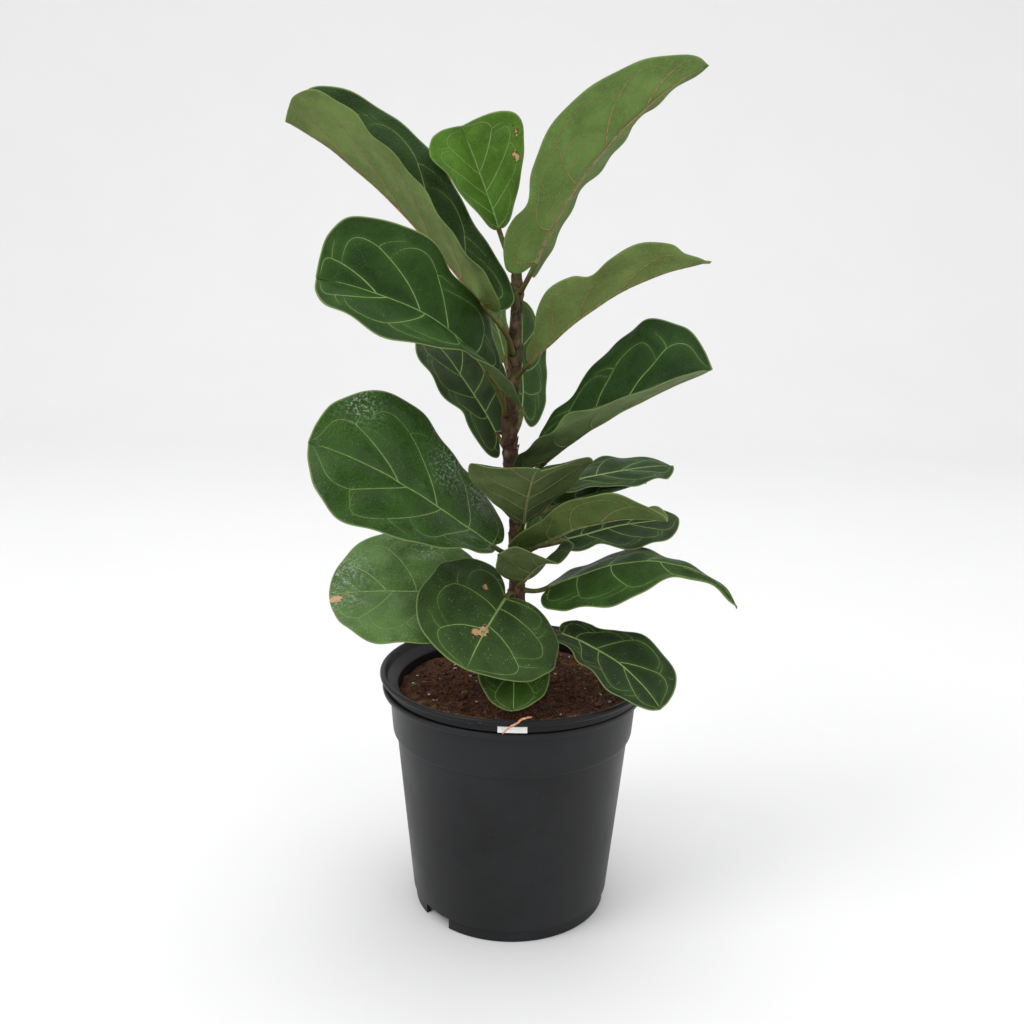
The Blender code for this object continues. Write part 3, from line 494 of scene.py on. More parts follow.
class Leaf:
    """A flat leaf bent into place as in the CAD model, with veins and a blade that puffs up between them."""

    def __init__(self, name, pairs=4, puff=1.1, **_):
        at, stalk, blade, turn, rise, roll, fold, curl, self.wave, outline = LEAVES[name]
        self.rng = np.random.default_rng(1000 + int(name[-2:]))
        self.length, self.half_width = blade[0] * MM, blade[1] * MM
        self.fold, self.curl = (np.radians(np.broadcast_to(angles, 2)) for angles in (fold, curl))
        self.outlines = [smooth_outline(kind) for kind in np.broadcast_to(outline, 2)]
        stalk_turn, stalk_rise = radians(stalk[1]), radians(stalk[2])
        centre, radius = stem_at(at)
        self.stalk = [centre + heading(stalk_turn, 0) * (radius + GAP)]
        self.stalk_dirs = [heading(stalk_turn, 0)]
        for i in range(STALK_STEPS):
            ease = (i + 0.5) / STALK_STEPS
            ease = ease * ease * (3 - 2 * ease)
            way = heading(stalk_turn + (radians(turn[0]) - stalk_turn) * ease,
                          stalk_rise + (radians(rise[0]) - stalk_rise) * ease)
            self.stalk.append(self.stalk[-1] + way * stalk[0] * MM / STALK_STEPS)
            self.stalk_dirs.append(way)
        midrib, along, left, up = [self.stalk[-1]], [], [], []
        for i in range(MIDRIB_STEPS + 1):
            share = i / MIDRIB_STEPS
            t, e, r = (radians(through_three(np.broadcast_to(v, 3), share)) for v in (turn, rise, roll))
            forward = heading(t, e)
            level = np.array([-sin(t), cos(t), 0.0])
            above = np.cross(forward, level)
            along.append(forward)
            left.append(cos(r) * level + sin(r) * above)
            up.append(cos(r) * above - sin(r) * level)
            if i < MIDRIB_STEPS:
                half = share + 0.5 / MIDRIB_STEPS
                step = heading(radians(through_three(turn, half)), radians(through_three(rise, half)))
                midrib.append(midrib[-1] + step * self.length / MIDRIB_STEPS)
        self.midrib, self.along, self.left, self.up = map(np.array, (midrib, along, left, up))
        self.slim = min(1.0, self.half_width / BROAD_LEAF) ** 0.5
        self.puff = puff * MM * self.slim
        self.ripples = [(self.rng.normal(0, 1, 2) * 2 * pi / RIPPLE_LENGTH, self.rng.uniform(0, 2 * pi))
                        for _ in range(4)]
        self.lay_veins(pairs)

    def flat(self, share, across):
        """Flat place of points on the side veins that end at a share of the margin."""
        share, across = np.broadcast_arrays(np.asarray(share, float), np.asarray(across, float))
        grid = np.linspace(0, 1, len(self.outlines[0]))
        (lx, ly), (rx, ry) = [[np.interp(share, grid, line[:, k]) for k in (0, 1)] for line in self.outlines]
        edge_x = np.where(across >= 0, lx, rx) * self.length
        edge_y = np.where(across >= 0, ly, ry) * self.half_width
        phase = np.where(across >= 0, 0.0, 2.1) + self.length * 300
        edge_y = edge_y * (1 + 0.018 * np.sin(19 * share + phase) + 0.010 * np.sin(41 * share + 2 * phase))
        root = share ** RIB_SWEEP * self.length
        out = np.abs(across)
        return root + (edge_x - root) * out, np.sign(across) * edge_y * out

    def bend(self, x, y):
        """World points and unit normals for flat places, as in the CAD model."""
        place = np.clip(x / self.length, 0, 1) * MIDRIB_STEPS
        low = np.minimum(place.astype(int), MIDRIB_STEPS - 1)
        part = (place - low)[:, None]
        rib, forward, left, up = (a[low] * (1 - part) + a[low + 1] * part
                                  for a in (self.midrib, self.along, self.left, self.up))
        rib = rib + forward * np.minimum(x, 0)[:, None]
        side = np.where(y >= 0, 1.0, -1.0)
        width = np.abs(y)
        fold = np.where(y >= 0, self.fold[0], self.fold[1])
        rate = np.where(y >= 0, self.curl[0], self.curl[1]) / self.half_width
        rate = np.where(np.abs(rate) < 1e-6, 1e-6, rate)
        angle = fold + rate * width
        out = (np.sin(angle) - np.sin(fold)) / rate
        lift = (np.cos(fold) - np.cos(angle)) / rate
        height, count, phase = self.wave
        ripple = height * MM * np.sin(2 * pi * count * x / self.length + phase + 0.9 * side)
        ripple = ripple * (width / self.half_width) ** 2
        normal = up * np.cos(angle)[:, None] - left * (side * np.sin(angle))[:, None]
        points = rib + left * (side * out)[:, None] + up * lift[:, None] + normal * ripple[:, None]
        return points, normal

    def lay_veins(self, pairs):
        """Side veins that lean to the tip, fork before the margin and loop on to the next one."""
        self.major, self.minor = [], []
        roots = np.linspace(0.02, 0.80, pairs + 1)[:pairs] if pairs < 5 else np.linspace(0.02, 0.74, pairs)
        step = roots[1] - roots[0]
        for side in (1, -1):
            laid = []
            for k, root in enumerate(roots):
                root = max(0.015, root + (0.20 * step if side < 0 and k else 0) + self.rng.normal(0, 0.012))
                lean = 0.62 * step * (1 - 0.35 * k / pairs) + self.rng.normal(0, 0.01)
                reach = self.rng.uniform(0.62, 0.72)
                laid.append((root, lean, reach))
            for k, (root, lean, reach) in enumerate(laid):
                s = np.linspace(0, 1, 26)
                self.major.append((root + lean * s ** 1.1, side * reach * s ** 0.92, 1.0, 0.52))
                s = np.linspace(0, 1, 20)
                ahead = (laid[k + 1][0] + laid[k + 1][1] * 0.75 if k + 1 < pairs else 0.97) - root - lean
                out = reach + 0.15 * np.sin(pi * s ** 0.8) - 0.10 * s ** 2
                self.major.append((root + lean + ahead * s, side * out, 0.48, 0.12))
                s = np.linspace(0, 1, 9)
                self.major.append((root + lean - 0.07 * s ** 1.4, side * (reach + 0.17 * s), 0.42, 0.12))
            for k, (root, lean, reach) in enumerate(laid):
                after = laid[k + 1] if k + 1 < pairs else (min(0.93, root + step), lean * 0.4, reach)
                for out in np.arange(0.14, reach, 0.2):
                    out = out + self.rng.normal(0, 0.02)
                    s = np.linspace(0, 1, 12)
                    here = root + lean * (out / reach) ** 1.25
                    there = after[0] + after[1] * (max(out - 0.05, 0.02) / after[2]) ** 1.25
                    wander = 0.012 * np.sin(s * 2 * pi * self.rng.uniform(0.8, 1.6) + self.rng.uniform(0, 6))
                    across = side * (out - 0.06 * s + wander)
                    self.minor.append((here + (there - here) * s, across, 0.20, 0.12))
        s = np.linspace(0, 1, 60)
        midrib_x = s * self.length * 0.985
        near = [np.stack([midrib_x, 0 * s], -1)]
        near += [np.stack(self.flat(u, v), -1) for u, v, _, _ in self.major]
        self.vein_points = np.vstack(near)

    def vein_distance(self, x, y):
        """Distance on the flat leaf to the nearest main vein, in metres."""
        gaps = np.empty(len(x))
        for part in np.array_split(np.arange(len(x)), max(1, len(x) // 800)):
            away = (x[part, None] - self.vein_points[None, :, 0]) ** 2
            away += (y[part, None] - self.vein_points[None, :, 1]) ** 2
            gaps[part] = np.sqrt(away.min(1))
        return gaps

    def surface(self, x, y, edge):
        """Middle of the blade: the bent sheet, puffed up between veins and rippled, and its normals."""
        points, normal = self.bend(x, y)
        lift = self.puff * (1 - np.exp(-(self.vein_distance(x, y) / PUFF_SPREAD) ** 2))
        lift = lift * np.clip(edge / CALM_MARGIN, 0, 1)
        for wave, phase in self.ripples:
            lift = lift + RIPPLE * np.sin(x * wave[0] + y * wave[1] + phase)
        phase = np.where(y >= 0, 0.0, 1.9) + self.length * 200
        lift = lift + MARGIN_WAVE * np.exp(-edge / MARGIN_FADE) * np.sin(2 * pi * x / MARGIN_LENGTH + phase)
        start = np.clip((x + 2 * MM) / (14 * MM), 0, 1)
        return points + normal * (lift * start)[:, None], normal

    def edge_gap(self, share, across):
        """Roughly how far a point is from the margin, in metres."""
        grid = np.linspace(0, 1, len(self.outlines[0]))
        root = np.stack([grid ** RIB_SWEEP * self.length, 0 * grid], -1)
        reach = []
        for line in self.outlines:
            tip = line * (self.length, self.half_width)
            rib = tip - root
            tangent = np.gradient(tip, axis=0)
            tangent /= np.maximum(np.linalg.norm(tangent, axis=1, keepdims=True), 1e-9)
            gap = np.abs(rib[:, 0] * tangent[:, 1] - rib[:, 1] * tangent[:, 0])
            reach.append(np.interp(share, grid, gap))
        return np.where(across >= 0, *reach) * (1 - np.abs(across))


def leaf_blade(name, leaf, looks):
    """Stalk and blade as one closed skin."""
    across = np.linspace(1, -1, 2 * int(np.ceil(leaf.half_width / MESH_PITCH)) + 1)
    shares = np.linspace(0, 1, int(leaf.length * 1.25 / MESH_PITCH))[1:-1]
    shares = np.r_[0.25 * shares[0], 0.5 * shares[0], shares]
    grid_u, grid_v = (g.ravel() for g in np.meshgrid(shares, across, indexing="ij"))
    x, y = leaf.flat(grid_u, grid_v)
    edge = leaf.edge_gap(grid_u, grid_v)
    middle, normal = leaf.surface(x, y, edge)
    thick = BLADE_THICKNESS / 2 * (1 - 0.55 * np.abs(grid_v) ** 8)
    half = len(across)
    shape = (len(shares), half, 3)
    upper = (middle + normal * thick[:, None]).reshape(shape)
    lower = (middle - normal * thick[:, None]).reshape(shape)[:, ::-1]
    spread = np.linspace(0.06, 0.94, half)
    angles = np.r_[pi * spread, pi + pi * spread]
    loops = []
    for share, centre, way in zip(np.arange(STALK_STEPS + 1) / STALK_STEPS, leaf.stalk, leaf.stalk_dirs):
        side = leaf.left[0] - way * (leaf.left[0] @ way)
        side /= np.linalg.norm(side)
        over = np.cross(way, side)
        radius = STALK_RADIUS * (1 + (STALK_FLARE - 1) * (np.exp(-share * 9) + 0.5 * np.exp((share - 1) * 9)))
        radius *= 0.92 + 0.03 * sin(7 * share + leaf.length * 900)
        loops.append(centre + radius * (np.outer(np.cos(angles), side) + np.outer(np.sin(angles), over)))
    rings = np.concatenate([np.array(loops), np.concatenate([upper, lower], axis=1)])
    tip, _ = leaf.surface(np.array([leaf.length]), np.array([0.0]), np.array([0.0]))
    solid = closed_loft(rings, leaf.stalk[0], tip[0])

    def layer(stalk_values, values, ends=(0, 0)):
        """One value per point: along the stalk's rings, on both faces of the blade, at the two ends."""
        faces = values.reshape(shape[:2])
        return np.r_[stalk_values, np.concatenate([faces, faces[:, ::-1]], 1).ravel(), ends]

    count = 2 * half
    no_stalk = np.zeros(len(loops) * count)
    stalk_flat = (np.arange(len(loops)) / STALK_STEPS - 1) * 30 * MM
    stalk_share = np.r_[no_stalk + 1, np.zeros(len(shares) * count), 1, 0]
    stalk_share[len(no_stalk):len(no_stalk) + 2 * count] = 0.8
    mark, painted_glints = np.zeros(len(x)), np.zeros(len(x))
    for share, out, size, brown in looks.get("blemishes", ()):
        bx, by = leaf.flat(share, out)
        away = np.hypot((x - bx) * 0.75, (y - by) * 1.2)
        mark = np.maximum(mark, (0.45 + 0.55 * brown) * np.exp(-(away / (size * MM * 0.8)) ** 4))
    # Patches of painted glints: pale specks that stand in for highlights
    for share, out, size in looks.get("painted_glints", ()):
        bx, by = leaf.flat(share, out)
        painted_glints = np.maximum(painted_glints, np.exp(-((x - bx) ** 2 + (y - by) ** 2) / (size * MM) ** 2))
    attributes = (
        ("flat_x", layer(np.repeat(stalk_flat, count), x, (-0.03, leaf.length))),
        ("flat_y", layer(np.tile(angles, len(loops)) * 1.5 * MM, y)),
        ("flat_z", np.full(len(solid[0]), 0.37 * int(name[-2:]))),
        ("under", np.r_[np.tile(np.repeat((0, 1), half), len(rings)), 0, 0]),
        ("edge", layer(no_stalk + 9.0, edge / MM, (9.0, 0.0))),
        ("near_vein", layer(no_stalk, np.exp(-leaf.vein_distance(x, y) / (1.3 * MM)))),
        ("stalk", stalk_share),
        ("blemish", layer(no_stalk, mark)),
        ("painted_glints", layer(no_stalk, painted_glints)),
    )
    piece = new_piece(name + "_blade", solid, leaf_material(name + "_skin", **looks), attributes)
    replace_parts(piece, name)


def leaf_veins(name, leaf, material):
    """Midrib, side veins and cross veins as slim ridges on both faces."""
    s = np.linspace(0.0, 0.975, 90)
    rib_edge = leaf.edge_gap(s ** (1 / RIB_SWEEP), 0 * s)
    lines = [(s * leaf.length, 0 * s, 1.3 * (1 - s) ** 0.8 + 0.22, rib_edge, True)]
    veins = [(*vein, 0.62, True) for vein in leaf.major]
    veins += [(*vein, 1.0, False) for vein in leaf.minor if name in TAN_BELOW]
    for u, v, first, last, slim, main in veins:
        x, y = leaf.flat(u, v)
        lines.append((x, y, np.linspace(first, last, len(x)) * slim * leaf.slim, leaf.edge_gap(u, v), main))
    parts, below = [], []
    for x, y, radius, edge, main in lines:
        points, normal = leaf.surface(x, y, edge)
        r = radius * MM
        out = normal * (BLADE_THICKNESS / 2 + 0.10 * r)[:, None]
        parts.append(tube(points - out, 0.72 * r, 8 if main else 5, 0.6, normal))
        below.append(np.ones(len(parts[-1][0])))
        if main:
            parts.append(tube(points + out, 0.56 * r, 8, 0.42, normal))
            below.append(np.zeros(len(parts[-1][0])))
    new_piece(name + "_veins", joined(parts), material, (("under", np.concatenate(below)),))


# ---------------------------------------------------------------- stem
STEM_SIDES = 56
STEM_PITCH = 0.9 * MM
NODES = sorted(sizes[0] for sizes in LEAVES.values())
# Pale leaf scars: height above the soil, direction, size
SCARS = ((12, -100, 3.5), (51, -60, 3.2), (72, -130, 3), (109, -75, 3), (118, -95, 2.6), (127, -70, 2.4),
         (149, -120, 2.8), (163, -60, 3), (193, -80, 3), (205, -100, 3.2), (215, -75, 3.2), (226, -95, 3.4),
         (35, 80, 3), (95, 100, 3), (140, 60, 3), (180, 120, 3))


def bark_material():
    s = Surface("bark", specular=0.3)
    where = s.place()
    blotch = s.noise(where, 180, 5, 0.65, 0.6)
    streak = s.noise(where, 700, 4, 0.7)
    colour = s.blend(blotch, (0.028, 0.013, 0.009), (0.085, 0.038, 0.023), 0.35, 0.65)
    colour = s.mix(s.squeeze(streak, 0.55, 0.75, 0, 0.6), colour, (0.16, 0.085, 0.045))
    green = s.times(s.value("young"), s.squeeze(blotch, 0.40, 0.58))
    colour = s.mix(green, colour, (0.095, 0.100, 0.032))
    colour = s.mix(s.value("scar"), colour, s.mix(streak, (0.10, 0.055, 0.025), (0.34, 0.23, 0.12)))
    return s.finish(colour, s.squeeze(blotch, 0.2, 0.8, 0.62, 0.88), s.bump(streak, 0.0005, 0.8))


def papery_material():
    s = Surface("papery_scale", specular=0.3)
    fibres = s.noise(s.place(), 900, 4, 0.6)
    colour = s.blend(fibres, (0.050, 0.022, 0.013), (0.20, 0.105, 0.055))
    return s.finish(colour, s.squeeze(fibres, 0.3, 0.7, 0.55, 0.85), s.bump(fibres, 0.0003, 0.7))


def make_stem():
    """Bark with a ring at every leaf's foot, lengthwise cracks and pale scars."""
    heights = np.arange(STEM[0][0], STEM[-1][0], STEM_PITCH / MM)
    angles = 2 * pi * np.arange(STEM_SIDES) / STEM_SIDES
    loops, young, scar_values = [], [], []
    for h in heights:
        centre, radius = stem_at(h)
        node = sum(np.exp(-((h - n + 1.5) / 1.6) ** 2) for n in NODES)
        crease = sum(np.exp(-((h - n - 3.0) / 0.7) ** 2) for n in NODES)
        ring = []
        for a in angles:
            way = Vector((cos(a), sin(a), 0))
            spot = Vector((cos(a) * 3.2, sin(a) * 3.2, h * 0.16))
            rough = noise.fractal(spot, 0.6, 2.0, 5)
            fine = noise.fractal(spot * Vector((4.0, 4.0, 1.8)), 0.5, 2.1, 4)
            mark = 0.0
            for level, direction, size in SCARS:
                turn = (np.degrees(a) - direction + 180) % 360 - 180
                away = np.hypot((h - level) / size, radians(turn) * radius / MM / (size * 0.85))
                mark = max(mark, float(np.clip(1.6 - 1.5 * away, 0, 1)))
            lift = 0.30 * rough + 0.20 * fine + 0.35 * node - 0.25 * crease + 0.30 * mark
            r = radius + lift * MM
            ring.append(centre + np.array(way) * min(r, radius + 0.9 * MM))
            scar_values.append(mark * (0.65 + 0.35 * fine))
            young.append(float(np.clip((h - 150) / 110, 0, 1)))
        loops.append(ring)
    base, _ = stem_at(heights[0])
    top, _ = stem_at(heights[-1])
    solid = closed_loft(loops, base, top + np.array([0, 0, 1.2 * MM]))
    piece = new_piece("stem_bark", solid, bark_material(),
                      (("young", np.r_[young, 0, 1]), ("scar", np.r_[scar_values, 0, 0])))
    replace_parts(piece, "stem")


def scale_flake(centre, radius, turn, length, width, peel, twist):
    """One dry stipule scale: a curved pointed flake whose tip stands away from the stem."""
    rows, cols = 9, 7
    sheets = []
    for face in (0.0, 0.22 * MM):
        grid = []
        for s in np.arange(rows) / (rows - 1):
            half = width * (1 - s ** 1.6) * (0.75 + 0.5 * s * (1 - s) * 2) + 0.05 * MM
            out = radius + 0.12 * MM + peel * s ** 1.8 + face
            for t in 2 * np.arange(cols) / (cols - 1) - 1:
                a = turn + (t * half) / radius + twist * s
                cup = 0.35 * MM * t * t * s
                grid.append(centre + np.array([cos(a) * (out - cup), sin(a) * (out - cup), s * length]))
        sheets.append(grid)
    return closed_sheet(*sheets, rows, cols)


def make_scales(material):
    """Clusters of dry scales round the stem at the leaves' feet, and stray ones between them."""
    rng = np.random.default_rng(41)
    parts = []

    def add_scale(height, length, width, peel):
        centre, radius = stem_at(height)
        parts.append(scale_flake(centre, radius, rng.uniform(0, 2 * pi), rng.uniform(*length) * MM,
                                 rng.uniform(*width) * MM, rng.uniform(*peel) * MM, rng.uniform(-0.3, 0.3)))

    for node in NODES:
        for _ in range(5 if node > 90 else 3):
            add_scale(node + rng.uniform(-2.5, 4.5), (3.5, 8.0), (1.0, 2.1), (0.2, 1.3))
    for _ in range(46):
        add_scale(rng.uniform(5, 262), (2.0, 4.5), (0.7, 1.5), (0.1, 0.7))
    new_piece("stem_scales", joined(parts), material)


def make_bud(material):
    """The growing tip, wrapped in pointed dry sheaths."""
    top, radius = stem_at(STEM[-1][0] - 3)
    foot = top - np.array([0, 0, 1 * MM])
    parts = [scale_flake(foot, radius * (0.95 - 0.1 * k), 2.4 * k, (8.5 + 1.2 * k) * MM, 2.6 * MM,
                         -radius * (0.75 - 0.12 * k), 0.2) for k in range(5)]
    new_piece("stem_bud", joined(parts), material)


# ---------------------------------------------------------------- soil
SOIL_SIDES = 220
SOIL_RINGS = 84
# Bark chunks by the wall: place, length, width, height in mm, turn in radians
BARK_CHUNKS = ((-54, -32, 9, 3.6, 2.2, 0.5), (-47, -38, 6, 2.6, 1.8, 1.1), (-60, -24, 5, 2.4, 1.6, 2.0),
               (-40, -47, 5, 2.2, 1.4, 0.2), (34, -52, 4.5, 2.0, 1.4, 2.6), (52, -30, 5, 2.4, 1.5, 0.9))


def soil_material():
    s = Surface("potting_mix", specular=0.25)
    where = s.place()
    clump = s.noise(where, 90, 6, 0.7, 0.5)
    crumb = s.cells(where, 700)
    fine = s.noise(where, 1200, 4, 0.7)
    colour = s.blend(clump, (0.022, 0.009, 0.005), (0.115, 0.042, 0.020), 0.32, 0.68)
    colour = s.mix(s.squeeze(fine, 0.50, 0.72, 0, 0.8), colour, (0.240, 0.100, 0.050))
    colour = s.mix(s.squeeze(crumb, 0.0, 0.35, 0.55, 0.0), colour, (0.012, 0.006, 0.004))
    normal = s.bump(fine, 0.0008, 0.9, s.bump(crumb, 0.0010, 0.9))
    return s.finish(colour, s.squeeze(fine, 0.3, 0.7, 0.75, 0.95), normal)


def inner_radius(height):
    """Outer radius of the inner pot's wall, which follows the outer pot's inside."""
    outside = np.interp(height, (0.0, BAND_LOW, BAND_LOW + 3.0 * MM, LIP_LOW, POT_HEIGHT),
                        (POT_FOOT_RADIUS, BODY_TOP_RADIUS, POT_BAND_RADIUS, POT_NECK_RADIUS, POT_NECK_RADIUS))
    return outside - POT_WALL - INNER_SLACK - np.hypot(*INNER_SHIFT)


def soil_height(x, y):
    """Lumpy top of the soil, a little higher round the stem and lower by the wall."""
    r = np.hypot(x, y) / MM
    spot = Vector((x * 40, y * 40, 3.3))
    big = noise.fractal(spot, 0.9, 2.0, 3)
    small = noise.hetero_terrain(spot * 5.0, 0.7, 2.1, 5, 0.5)
    grain = noise.fractal(spot * 22.0, 0.5, 2.0, 3)
    swell = 2.2 * np.exp(-(r / 32) ** 2) - 1.6 * np.clip((r - 60) / 10, 0, 1)
    return SOIL_TOP + (swell + 1.5 * big + 0.75 * (small - 0.6) + 0.45 * grain) * MM


def make_soil():
    """The root ball: a lumpy top, a wall that follows the inner pot, and a socket for the stem."""
    room = INNER_WALL + 0.35 * MM
    base = INNER_FLOOR + INNER_WALL + GAP
    reach = inner_radius(SOIL_TOP) - room
    socket = stem_at(0)[1] + 0.1 * MM
    angles = 2 * pi * np.arange(SOIL_SIDES) / SOIL_SIDES
    loops = []
    for z in (base, BAND_LOW, BAND_LOW + 4 * MM, SOIL_TOP - 5 * MM):
        r = inner_radius(z) - room
        loops.append([(INNER_SHIFT[0] + r * cos(a), INNER_SHIFT[1] + r * sin(a), z) for a in angles])
    for share in np.linspace(1, 0, SOIL_RINGS) ** 0.8:
        r = socket + (reach - socket) * share
        loops.append([])
        for a in angles:
            x, y = INNER_SHIFT[0] * share + r * cos(a), INNER_SHIFT[1] * share + r * sin(a)
            loops[-1].append((x, y, soil_height(x, y)))
    for depth in (4 * MM, 28 * MM):
        loops.append([(socket * cos(a), socket * sin(a), SOIL_TOP - depth) for a in angles])
    solid = closed_loft(loops, (*INNER_SHIFT, base), (0, 0, SOIL_TOP - 29 * MM))
    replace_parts(new_piece("soil_mix", solid, soil_material()), "soil")


def lump(centre, size, rng, rough, detail):
    """A small irregular closed lump."""
    # Nothing uses these two draws; without them every later draw would change.
    rng.uniform()
    rng.normal(size=3)
    bm = bmesh.new()
    bmesh.ops.create_icosphere(bm, subdivisions=detail, radius=1.0)
    shift = Vector(rng.uniform(0, 50, 3))
    points = []
    for v in bm.verts:
        grow = 1 + rough * noise.noise(v.co * 1.6 + shift) * 2
        points.append(np.array(centre) + np.array(v.co * Vector(size) * grow))
    faces = [tuple(v.index for v in f.verts) for f in bm.faces]
    bm.free()
    return np.array(points), faces


def turned(part, centre, angle, tilt):
    """Turn a part about its centre: by angle round Z after a tilt round X."""
    points, faces = part
    turn = np.array(Matrix.Rotation(angle, 3, "Z") @ Matrix.Rotation(tilt, 3, "X"))
    return (points - centre) @ turn.T + centre, faces


def soil_spot(rng, far=66):
    """A random place on the soil's top, clear of the stem."""
    while True:
        x, y = rng.uniform(-far, far, 2) * MM
        if 10 * MM < np.hypot(x, y) < far * MM:
            return x + INNER_SHIFT[0], y + INNER_SHIFT[1]


def crumb_material(name, dark, light, rough=0.85):
    s = Surface(name, rough, 0.16)
    grain = s.noise(s.place(), 650, 5, 0.7, 0.4)
    return s.finish(s.blend(grain, dark, light, 0.32, 0.68), None, s.bump(grain, 0.0006, 0.8))


def strand(rng, thick):
    """A root or coir strand that wanders over the soil and arches off it."""
    x, y = soil_spot(rng, 62)
    way = rng.uniform(0, 2 * pi)
    path = []
    for k in range(9):
        path.append((x, y, soil_height(x, y) + (0.35 + 0.9 * sin(pi * k / 8) * rng.uniform(0, 1)) * MM))
        way += rng.normal(0, 0.35)
        step = rng.uniform(0.8, 2.4) * MM
        if np.hypot(x + cos(way) * step, y + sin(way) * step) > 66 * MM:
            way += 2.0
        x, y = x + cos(way) * step, y + sin(way) * step
    return tube(path, np.linspace(1, 0.4, 9) * thick * MM * rng.uniform(0.7, 1.4), 5)


def make_litter():
    """What lies on the soil: crumbs, bark, rootlets, perlite and a few green bits."""
    rng = np.random.default_rng(77)
    crumbs, chips = [], []

    def lay(name, parts, dark, light, finish=None):
        new_piece(name, joined(parts), crumb_material(finish or name, dark, light))

    for _ in range(1500):
        x, y = soil_spot(rng)
        s = rng.uniform(0.35, 1.3) * MM
        size = (s, s * rng.uniform(0.6, 1.4), s * rng.uniform(0.5, 0.9))
        crumbs.append(lump((x, y, soil_height(x, y) + 0.2 * s), size, rng, 0.35, 1))
    lay("soil_crumbs", crumbs, (0.020, 0.009, 0.005), (0.120, 0.045, 0.022), "crumb")
    small_chips = [(*(v / MM for v in soil_spot(rng)), rng.uniform(1.6, 4.2), rng.uniform(0.9, 1.8),
                    rng.uniform(0.6, 1.2), rng.uniform(0, 3)) for _ in range(90)]
    for x, y, a, b, c, turn in (*BARK_CHUNKS, *small_chips):
        x, y = x * MM, y * MM
        centre = np.array([x, y, soil_height(x, y) + 0.35 * c * MM])
        part = lump(centre, (a * MM / 1.6, b * MM / 1.4, c * MM / 1.6), rng, 0.3, 3 if a > 4.4 else 2)
        chips.append(turned(part, centre, turn, rng.uniform(-0.25, 0.25)))
    lay("soil_bark", chips, (0.045, 0.022, 0.012), (0.215, 0.120, 0.060), "bark_chip")
    for name, number, thick, dark, light in (
            ("soil_rootlets", 150, 0.26, (0.10, 0.040, 0.018), (0.36, 0.145, 0.060)),
            ("soil_coir", 230, 0.16, (0.07, 0.035, 0.018), (0.24, 0.130, 0.065))):
        lay(name, [strand(rng, thick) for _ in range(number)], dark, light)
    for name, number, low, high, dark, light in (
            ("soil_perlite", 42, 0.5, 1.1, (0.45, 0.42, 0.37), (0.80, 0.78, 0.72)),
            ("soil_green_bits", 16, 0.6, 1.5, (0.05, 0.09, 0.015), (0.16, 0.24, 0.05))):
        bits = []
        for _ in range(number):
            x, y = soil_spot(rng)
            s = rng.uniform(low, high) * MM
            bits.append(lump((x, y, soil_height(x, y) + 0.4 * s), (s, s * 0.8, s * 0.6), rng, 0.3, 2))
        lay(name, bits, dark, light)


# ---------------------------------------------------------------- pots
POT_SIDES = 240


def plastic_material(name, base, dusty):
    """Moulded polypropylene: satin, finely grained, with faint scuffs and dust."""
    s = Surface(name, specular=0.16)
    where = s.place()
    cloud = s.noise(where, 16, 4, 0.6)
    speck = s.squeeze(s.cells(where, 260), 0.05, 0.13, 1.0, 0.0)
    speck = s.times(speck, s.squeeze(s.noise(where, 60, 3), 0.50, 0.66))
    colour = s.blend(cloud, shade(base, 0.82), shade(base, 1.25))
    colour = s.mix(s.times(speck, dusty), colour, (0.30, 0.29, 0.27))
    roughness = s.plus(s.squeeze(cloud, 0.3, 0.7, 0.35, 0.47), s.times(speck, 0.25))
    normal = s.bump(s.noise(where, 1400, 2, 0.5), 0.00012, 0.5)
    return s.finish(colour, roughness, s.bump(s.noise(where, 30, 2), 0.0016, 0.25, normal))


def lathe(name, profile, centre, material, bevel):
    """A pot wall turned from a closed profile, with its edges rounded."""
    angles = 2 * pi * np.arange(POT_SIDES) / POT_SIDES
    points = [(centre[0] + r * cos(a), centre[1] + r * sin(a), z) for r, z in profile for a in angles]
    faces = loft_faces(len(profile) + 1, POT_SIDES) % len(points)
    obj = new_piece(name, (points, faces), material)
    rounding = obj.modifiers.new("rounding", "BEVEL")
    rounding.width = bevel
    rounding.segments = 3
    rounding.limit_method = "ANGLE"
    rounding.angle_limit = radians(14)
    return obj


def cut_holes(obj, cutters):
    """Cut holes through a wall, keep the finished mesh and drop the modifiers and cutters."""
    for cutter in cutters:
        modifier = obj.modifiers.new("hole", "BOOLEAN")
        modifier.solver = "EXACT"
        modifier.object = cutter
    shape = obj.evaluated_get(bpy.context.evaluated_depsgraph_get())
    mesh = bpy.data.meshes.new_from_object(shape)
    obj.modifiers.clear()
    obj.data = mesh
    for cutter in cutters:
        bpy.data.objects.remove(cutter, do_unlink=True)
    obj.data.shade_smooth()
    obj.data.set_sharp_from_angle(angle=radians(38))


def cutter_object(bm):
    mesh = bpy.data.meshes.new("cutter")
    finish_mesh(bm, mesh)
    return add_object("cutter", mesh)


def notch_cutter(angle, foot):
    """A box with rounded corners through the foot ring."""
    bm = bmesh.new()
    bmesh.ops.create_cube(bm, size=1.0)
    a = radians(angle)
    for v in bm.verts:
        x, y, z = v.co.x * 4 * FOOT_WIDTH + foot - FOOT_WIDTH, v.co.y * NOTCH_WIDTH, v.co.z
        z = (z + 0.5) * (FOOT_HEIGHT - 1.4 * MM + 5 * MM) - 5 * MM
        v.co = (x * cos(a) - y * sin(a), x * sin(a) + y * cos(a), z)
    radial = [e for e in bm.edges if abs((e.verts[0].co - e.verts[1].co).normalized().dot(
        Vector((cos(a), sin(a), 0)))) > 0.99]
    bmesh.ops.bevel(bm, geom=radial, offset=1.2 * MM, segments=4, affect="EDGES", profile=0.5)
    return cutter_object(bm)


